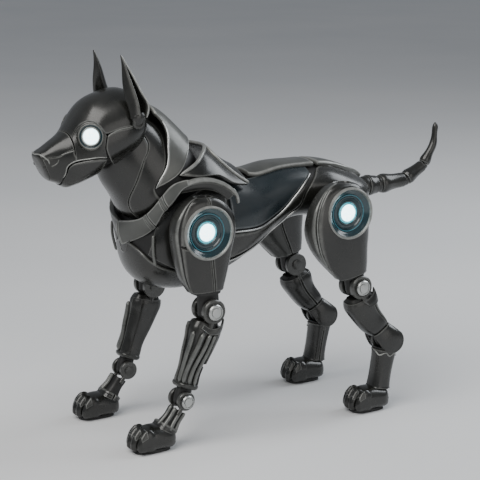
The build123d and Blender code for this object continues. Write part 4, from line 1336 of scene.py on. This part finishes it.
def make_hind_leg(side, word):
    prefix = f"hind_{word}"
    upper, lower, foot = f"{prefix}_upper", f"{prefix}_lower", f"{prefix}_foot"
    thigh = f"{prefix}_thigh"
    skin(f"{thigh}_core", upper, thigh, DARK, THIGH, 0, None, -0.9, 48, 64, side, HIP_WELL)
    left = [(-70, 0.4), (-73, 2.25), (-73, 3.54), (-71, 5.02), (-76, 6.49), (-82, 7.8)]
    plate(
        f"{thigh}_front_rim", upper, thigh, GRAPHITE, THIGH, [(-178, 0.4), (-178, 7.8)],
        shifted(left, -2.0),
        lip=0.2, edge=0.8, side=side, grid=(44, 60),
    )
    plate(
        f"{thigh}_main_cover", upper, thigh, GLOSS, THIGH, left, [(178, 0.4), (178, 7.8)],
        lift=0.4, thick=1.8, lip=0.1, edge=0.8, side=side, grid=(80, 64), well=HIP_WELL,
    )
    bar(
        f"{thigh}_rim_line", upper, thigh, GRAPHITE, on_form(THIGH, shifted(left[:-1], -0.6), 0.3, 40)[::3],
        0.5, side, rim=1.0
    )
    tongue = [
        (58.5, 106.0, 4.2, 7.6), (60.6, 99.0, 4.2, 7.8), (62.0, 93.0, 4.2, 7.9), (63.0, 88.0, 4.2, 6.2),
        (63.6, 85.4, 4.2, 2.0)
    ]
    make_tongue(f"{thigh}_tongue", upper, thigh, -80, tongue, (28, 40), side)
    make_hub(prefix, side, upper, HIP)

    shin = f"{prefix}_shin"
    skin(f"{shin}_core", lower, shin, DARK, SHIN, 0, None, -1.0, 40, 56, side)
    wrap_plate(
        f"{shin}_front_cover", lower, shin, GLOSS, SHIN, (-176, 38), (0.6, 4.5), side, lift=0.0, lip=0.2,
        grid=(50, 36)
    )
    wrap_plate(
        f"{shin}_rear_cover", lower, shin, GLOSS, SHIN, (42, 180), (0.6, 4.5), side, lift=0.1, lip=0.3,
        grid=(36, 36)
    )
    cup = [
        (-84, 10.0, 50.7), (-70, 10.2, 50.8), (-54, 10.5, 50.6), (-38, 11.0, 50.0), (-22, 11.6, 49.3),
        (-6, 12.0, 48.4)
    ]
    make_cup(
        f"{shin}_cup", lower, shin, GLOSS, SHIN, [(12, 1.75), (26, 1.8), (44, 1.8), (64, 1.8)], KNEE, cup,
        side
    )
    guard = [
        (-146, 9.3, 51.2), (-118, 9.3, 51.9), (-88, 9.3, 52.3), (-57, 9.3, 52.4), (-26, 9.3, 52.3),
        (4, 9.3, 51.9), (32, 9.3, 51.2)
    ]
    make_cup(
        f"{shin}_hock_guard", lower, shin, GLOSS, SHIN, [(-56, 4.25), (0, 4.1), (56, 4.25)], HOCK, guard,
        side, (1, -1)
    )
    root = [(62.6, 89.6), (64.4, 85.0), (66.4, 81.0)]
    make_fork(shin, lower, KNEE, BIG_FORK, BIG_CHEEK, root, 1.9, side)
    make_pin(prefix, side, lower, KNEE, *BIG_PIN)
    make_pin(prefix, side, lower, HOCK, *HOCK_PIN, GLOSS)
    tongue = [
        (81.0, 62.0, 3.2, 6.6), (85.0, 57.0, 3.6, 7.6), (89.0, 51.0, 3.6, 8.0), (91.6, 47.0, 3.0, 6.2),
        (93.2, 44.8, 1.8, 2.0)
    ]
    make_tongue(f"{shin}_hock_tongue", lower, shin, -56, tongue, (26, 40), side)

    metatarsus = f"{prefix}_metatarsus"
    skin(f"{metatarsus}_core", foot, metatarsus, DARK, METATARSUS, 1.8, None, -1.0, 32, 48, side)
    wrap_plate(
        f"{metatarsus}_cover", foot, metatarsus, GLOSS, METATARSUS, (-179, 179), (1.95, 4.9), side,
        lift=0.0, lip=0.25, grid=(64, 40)
    )
    zigzag = [
        (-104, 2.02), (-78, 2.12), (-52, 2.3), (-26, 2.12), (0, 2.32), (26, 2.14), (52, 2.3), (74, 2.12)
    ]
    bar(
        f"{metatarsus}_band", foot, metatarsus, SATIN, on_form(METATARSUS, zigzag, 0.1, 61)[::2], 0.55,
        side, rim=0.9
    )
    root = [(88.8, 46.0), (88.2, 42.0), (87.6, 38.0)]
    make_fork(metatarsus, foot, HOCK, ((46.9, 50.2), (34.5, 37.8)), HOCK_CHEEK, root, 1.6, side, rim=0.5)
    make_paw(prefix, side, foot, HIND_PAW)


SOLE_POINTS, SOLE_HALF = 56, (7.4, 12.9)
SOLE_EDGE = [(0.0, 0.93), (0.35, 1.0), (1.0, 1.0), (2.2, 0.97)]  # height, and how much of the full outline


def make_paw(prefix, side, body, middle):
    """A rounded paw: heel and instep in one moulding, four toes in front with a lighter cap on each knuckle
    as a painted highlight, a sole underneath.
    """
    node = f"{prefix}_paw"
    instep = Form(
        [
            (middle + 16.4, 7.6, 0, 3.4, 3.4, 3.6, 2.4, 3.0),
            (middle + 14.0, 8.6, 0, 8.0, 6.8, 6.6, 2.3, 3.2),
            (middle + 8.0, 9.2, 0, 10.0, 8.0, 7.4, 2.3, 3.4),
            (middle + 1.0, 9.6, 0, 10.3, 8.2, 7.8, 2.4, 3.6),
            (middle - 5.0, 9.2, 0, 10.2, 7.6, 7.4, 2.4, 3.6),
            (middle - 9.0, 8.2, 0, 9.4, 5.8, 6.2, 2.4, 3.2),
        ],
        LEG_MID,
    )
    skin(f"{node}_instep", body, node, GLOSS, instep, 0, None, 0, 36, 56, side)
    for number, (x, reach, half) in enumerate(
        ((-7.9, -13.6, 2.55), (-2.75, -16.0, 2.8), (2.75, -16.0, 2.8), (7.9, -13.6, 2.55)), 1
    ):
        toe = Form(
            [
                (middle + reach - 0.6, 6.4, 0, half * 0.35, 1.8, 2.0, 2.0, 2.4),
                (middle + reach + 0.7, 7.0, 0, half * 0.86, 4.2, 4.0, 2.1, 2.6),
                (middle + reach + 3.4, 8.2, 0, half, 6.6, 5.9, 2.2, 2.8),
                (middle + reach + 7.2, 9.4, 0, half * 1.03, 7.7, 7.2, 2.0, 2.8),
                (middle + reach + 11.0, 9.0, 0, half * 0.95, 7.0, 6.8, 2.2, 2.8),
                (middle + reach + 14.0, 8.4, 0, half * 0.6, 4.0, 4.0, 2.2, 2.6),
            ],
            LEG_MID + x,
        )
        skin(f"{node}_toe_{number}", body, node, GLOSS, toe, 0, None, 0, 30, 28, side)
        # a lighter graphite cap on top of each toe: painted highlight where the knuckle catches the light
        wrap_plate(
            f"{node}_knuckle_{number}", body, node, GRAPHITE, toe, (48, 132), (1.35, 2.75), side, lift=0.25,
            edge=0.4, round_off=0.3, thick=0.9, grid=(16, 20)
        )
    outline = []
    for k in range(SOLE_POINTS):
        angle = 2 * math.pi * k / SOLE_POINTS
        c, q = math.cos(angle), math.sin(angle)
        reach = (abs(c / SOLE_HALF[0]) ** 3 + abs(q / SOLE_HALF[1]) ** 3) ** (-1 / 3)
        outline.append((LEG_MID + c * reach, middle + q * reach))
    points = []
    for z, scale in SOLE_EDGE:
        points += [(LEG_MID + (x - LEG_MID) * scale, middle + (y - middle) * scale, z) for x, y in outline]
    faces = grid_faces(len(SOLE_EDGE), SOLE_POINTS, wrap=True)
    faces.append(list(range(SOLE_POINTS))[::-1])
    faces.append([len(points) - SOLE_POINTS + k for k in range(SOLE_POINTS)])
    piece(f"{prefix}_sole_pad", body, f"{prefix}_sole", RUBBER, points, outward(points, faces), side)


# ---- tail
def make_tail():
    stops = TAIL_LINKS + [TAIL_BEND, TAIL_TIP]
    for number, (y, z, r) in enumerate(TAIL_LINKS):
        body, node = f"tail_{number + 1}", f"tail_link_{number + 1}"
        y1, z1, r1 = stops[number + 1]
        start, end = np.array((y, z)), np.array((y1, z1))
        length = np.linalg.norm(end - start)
        ahead = (end - start) / length
        lean = -math.degrees(math.atan2(ahead[1], ahead[0]))

        def station(d, radius, lean=lean, start=start, ahead=ahead):
            spot = start + ahead * d
            return (*spot, -lean, radius, radius, radius, 2.0, 2.0)

        stations = [station(1.2, r * 0.86), station(1.8, r - 0.15)]
        if number < len(TAIL_LINKS) - 1:
            stop = length - 0.32 * r1
            stations += [
                station(length * 0.4, r + 0.05), station(stop - 1.2, r1 + 0.4),
                station(stop - 0.1, r1 + 0.1), station(stop, r1 - 0.5),
            ]
        else:
            tip = np.array(TAIL_TIP[:2])
            lean_tip = math.degrees(math.atan2(tip[1] - end[1], tip[0] - end[0]))
            bends = [
                (start + ahead * length * 0.5, -lean + 2, 3.4), (end, (-lean + lean_tip) / 2, r1),
                ((end + tip) / 2 + (0.3, 0), lean_tip, 2.1), (tip - (0, 1.0), lean_tip, 1.3),
                (tip, lean_tip, 0.5),
            ]
            stations += [(*spot, turn, radius, radius, radius, 2.0, 2.0) for spot, turn, radius in bends]
        shape = Form(stations)
        skin(f"{node}_shell", body, node, GLOSS, shape, 0, None, 0, 36, 48)
        reach = r - 0.3
        turns = [math.radians(a) for a in range(15, 111, 12)]
        ball = [(math.sin(a) * reach, -math.cos(a) * reach) for a in turns]
        ball = [(0, -r + 0.3)] + ball + [(0, reach * 0.36)]
        turned(f"{node}_ball", body, node, GLOSS, (0, y, z), (0, ahead[0], ahead[1]), ball, around=40)
        band = [
            (r - 0.6, 1.5), (r + 0.1, 1.6), (r + 0.25, 2.0), (r + 0.1, 2.4), (r - 0.6, 2.5), (r - 0.6, 1.5)
        ]
        turned(
            f"{node}_band", body, node, GRAPHITE, (0, y, z), (0, ahead[0], ahead[1]), band, around=56,
            rim=0.4
        )


# ---- the scene
def area_light(name, place, target, size, power, colour):
    data = bpy.data.lights.new(name, "AREA")
    data.shape, data.size, data.energy, data.color = "SQUARE", size, power, colour
    lamp = bpy.data.objects.new(name, data)
    bpy.context.scene.collection.objects.link(lamp)
    lamp.location = place
    aim(lamp, target)


def aim(obj, target):
    away = obj.location - type(obj.location)(target)
    obj.rotation_euler = away.to_track_quat("Z", "Y").to_euler()


def make_stage():
    bpy.ops.mesh.primitive_plane_add(size=40.0)
    floor = bpy.context.object
    floor.name = "studio_floor"
    material = bpy.data.materials.new("pale_floor")
    material.use_nodes = True
    tree = material.node_tree
    shader = tree.nodes["Principled BSDF"]
    shader.inputs["Roughness"].default_value = 0.6
    place = tree.nodes.new("ShaderNodeTexCoord").outputs["Object"]
    tone = ramp(tree, noise(tree, place, 3.0, 2.0), [(0.3, (0.70, 0.71, 0.72)), (0.7, (0.74, 0.745, 0.75))])
    tree.links.new(tone, shader.inputs["Base Color"])
    floor.data.materials.append(material)
    world = bpy.data.worlds.new("studio")
    bpy.context.scene.world = world
    world.use_nodes = True
    world.node_tree.nodes["Background"].inputs["Color"].default_value = (0.80, 0.84, 0.90, 1)
    world.node_tree.nodes["Background"].inputs["Strength"].default_value = 0.32
    area_light("key", (0.35, -0.8, 1.25), (0, 0, 0.13), 1.2, 22.0, (1.0, 0.98, 0.95))
    area_light("rim", (0.1, 1.1, 0.9), (0, 0, 0.15), 0.8, 11.0, (0.92, 0.96, 1.0))
    area_light("fill", (1.5, 0.2, 0.5), (0, 0, 0.12), 1.1, 4.5, (1.0, 0.97, 0.93))


def make_camera():
    azimuth, elevation, distance = math.radians(59.3), math.radians(12.0), 1.1673
    target = (0.0, -0.0072, 0.1254)
    data = bpy.data.cameras.new("camera")
    data.sensor_width = 36.0
    data.angle = math.radians(16.4)
    camera = bpy.data.objects.new("camera", data)
    bpy.context.scene.collection.objects.link(camera)
    camera.location = (
        target[0] + distance * math.sin(azimuth) * math.cos(elevation),
        target[1] - distance * math.cos(azimuth) * math.cos(elevation),
        target[2] + distance * math.sin(elevation),
    )
    aim(camera, target)
    bpy.context.scene.camera = camera


make_stage()
make_camera()
make_cranium()
make_muzzle()
make_jaw()
make_eyes()
make_ears()
make_neck()
make_torso()
for make_leg in (make_front_leg, make_hind_leg):
    for side, word in SIDES:
        make_leg(side, word)
make_tail()
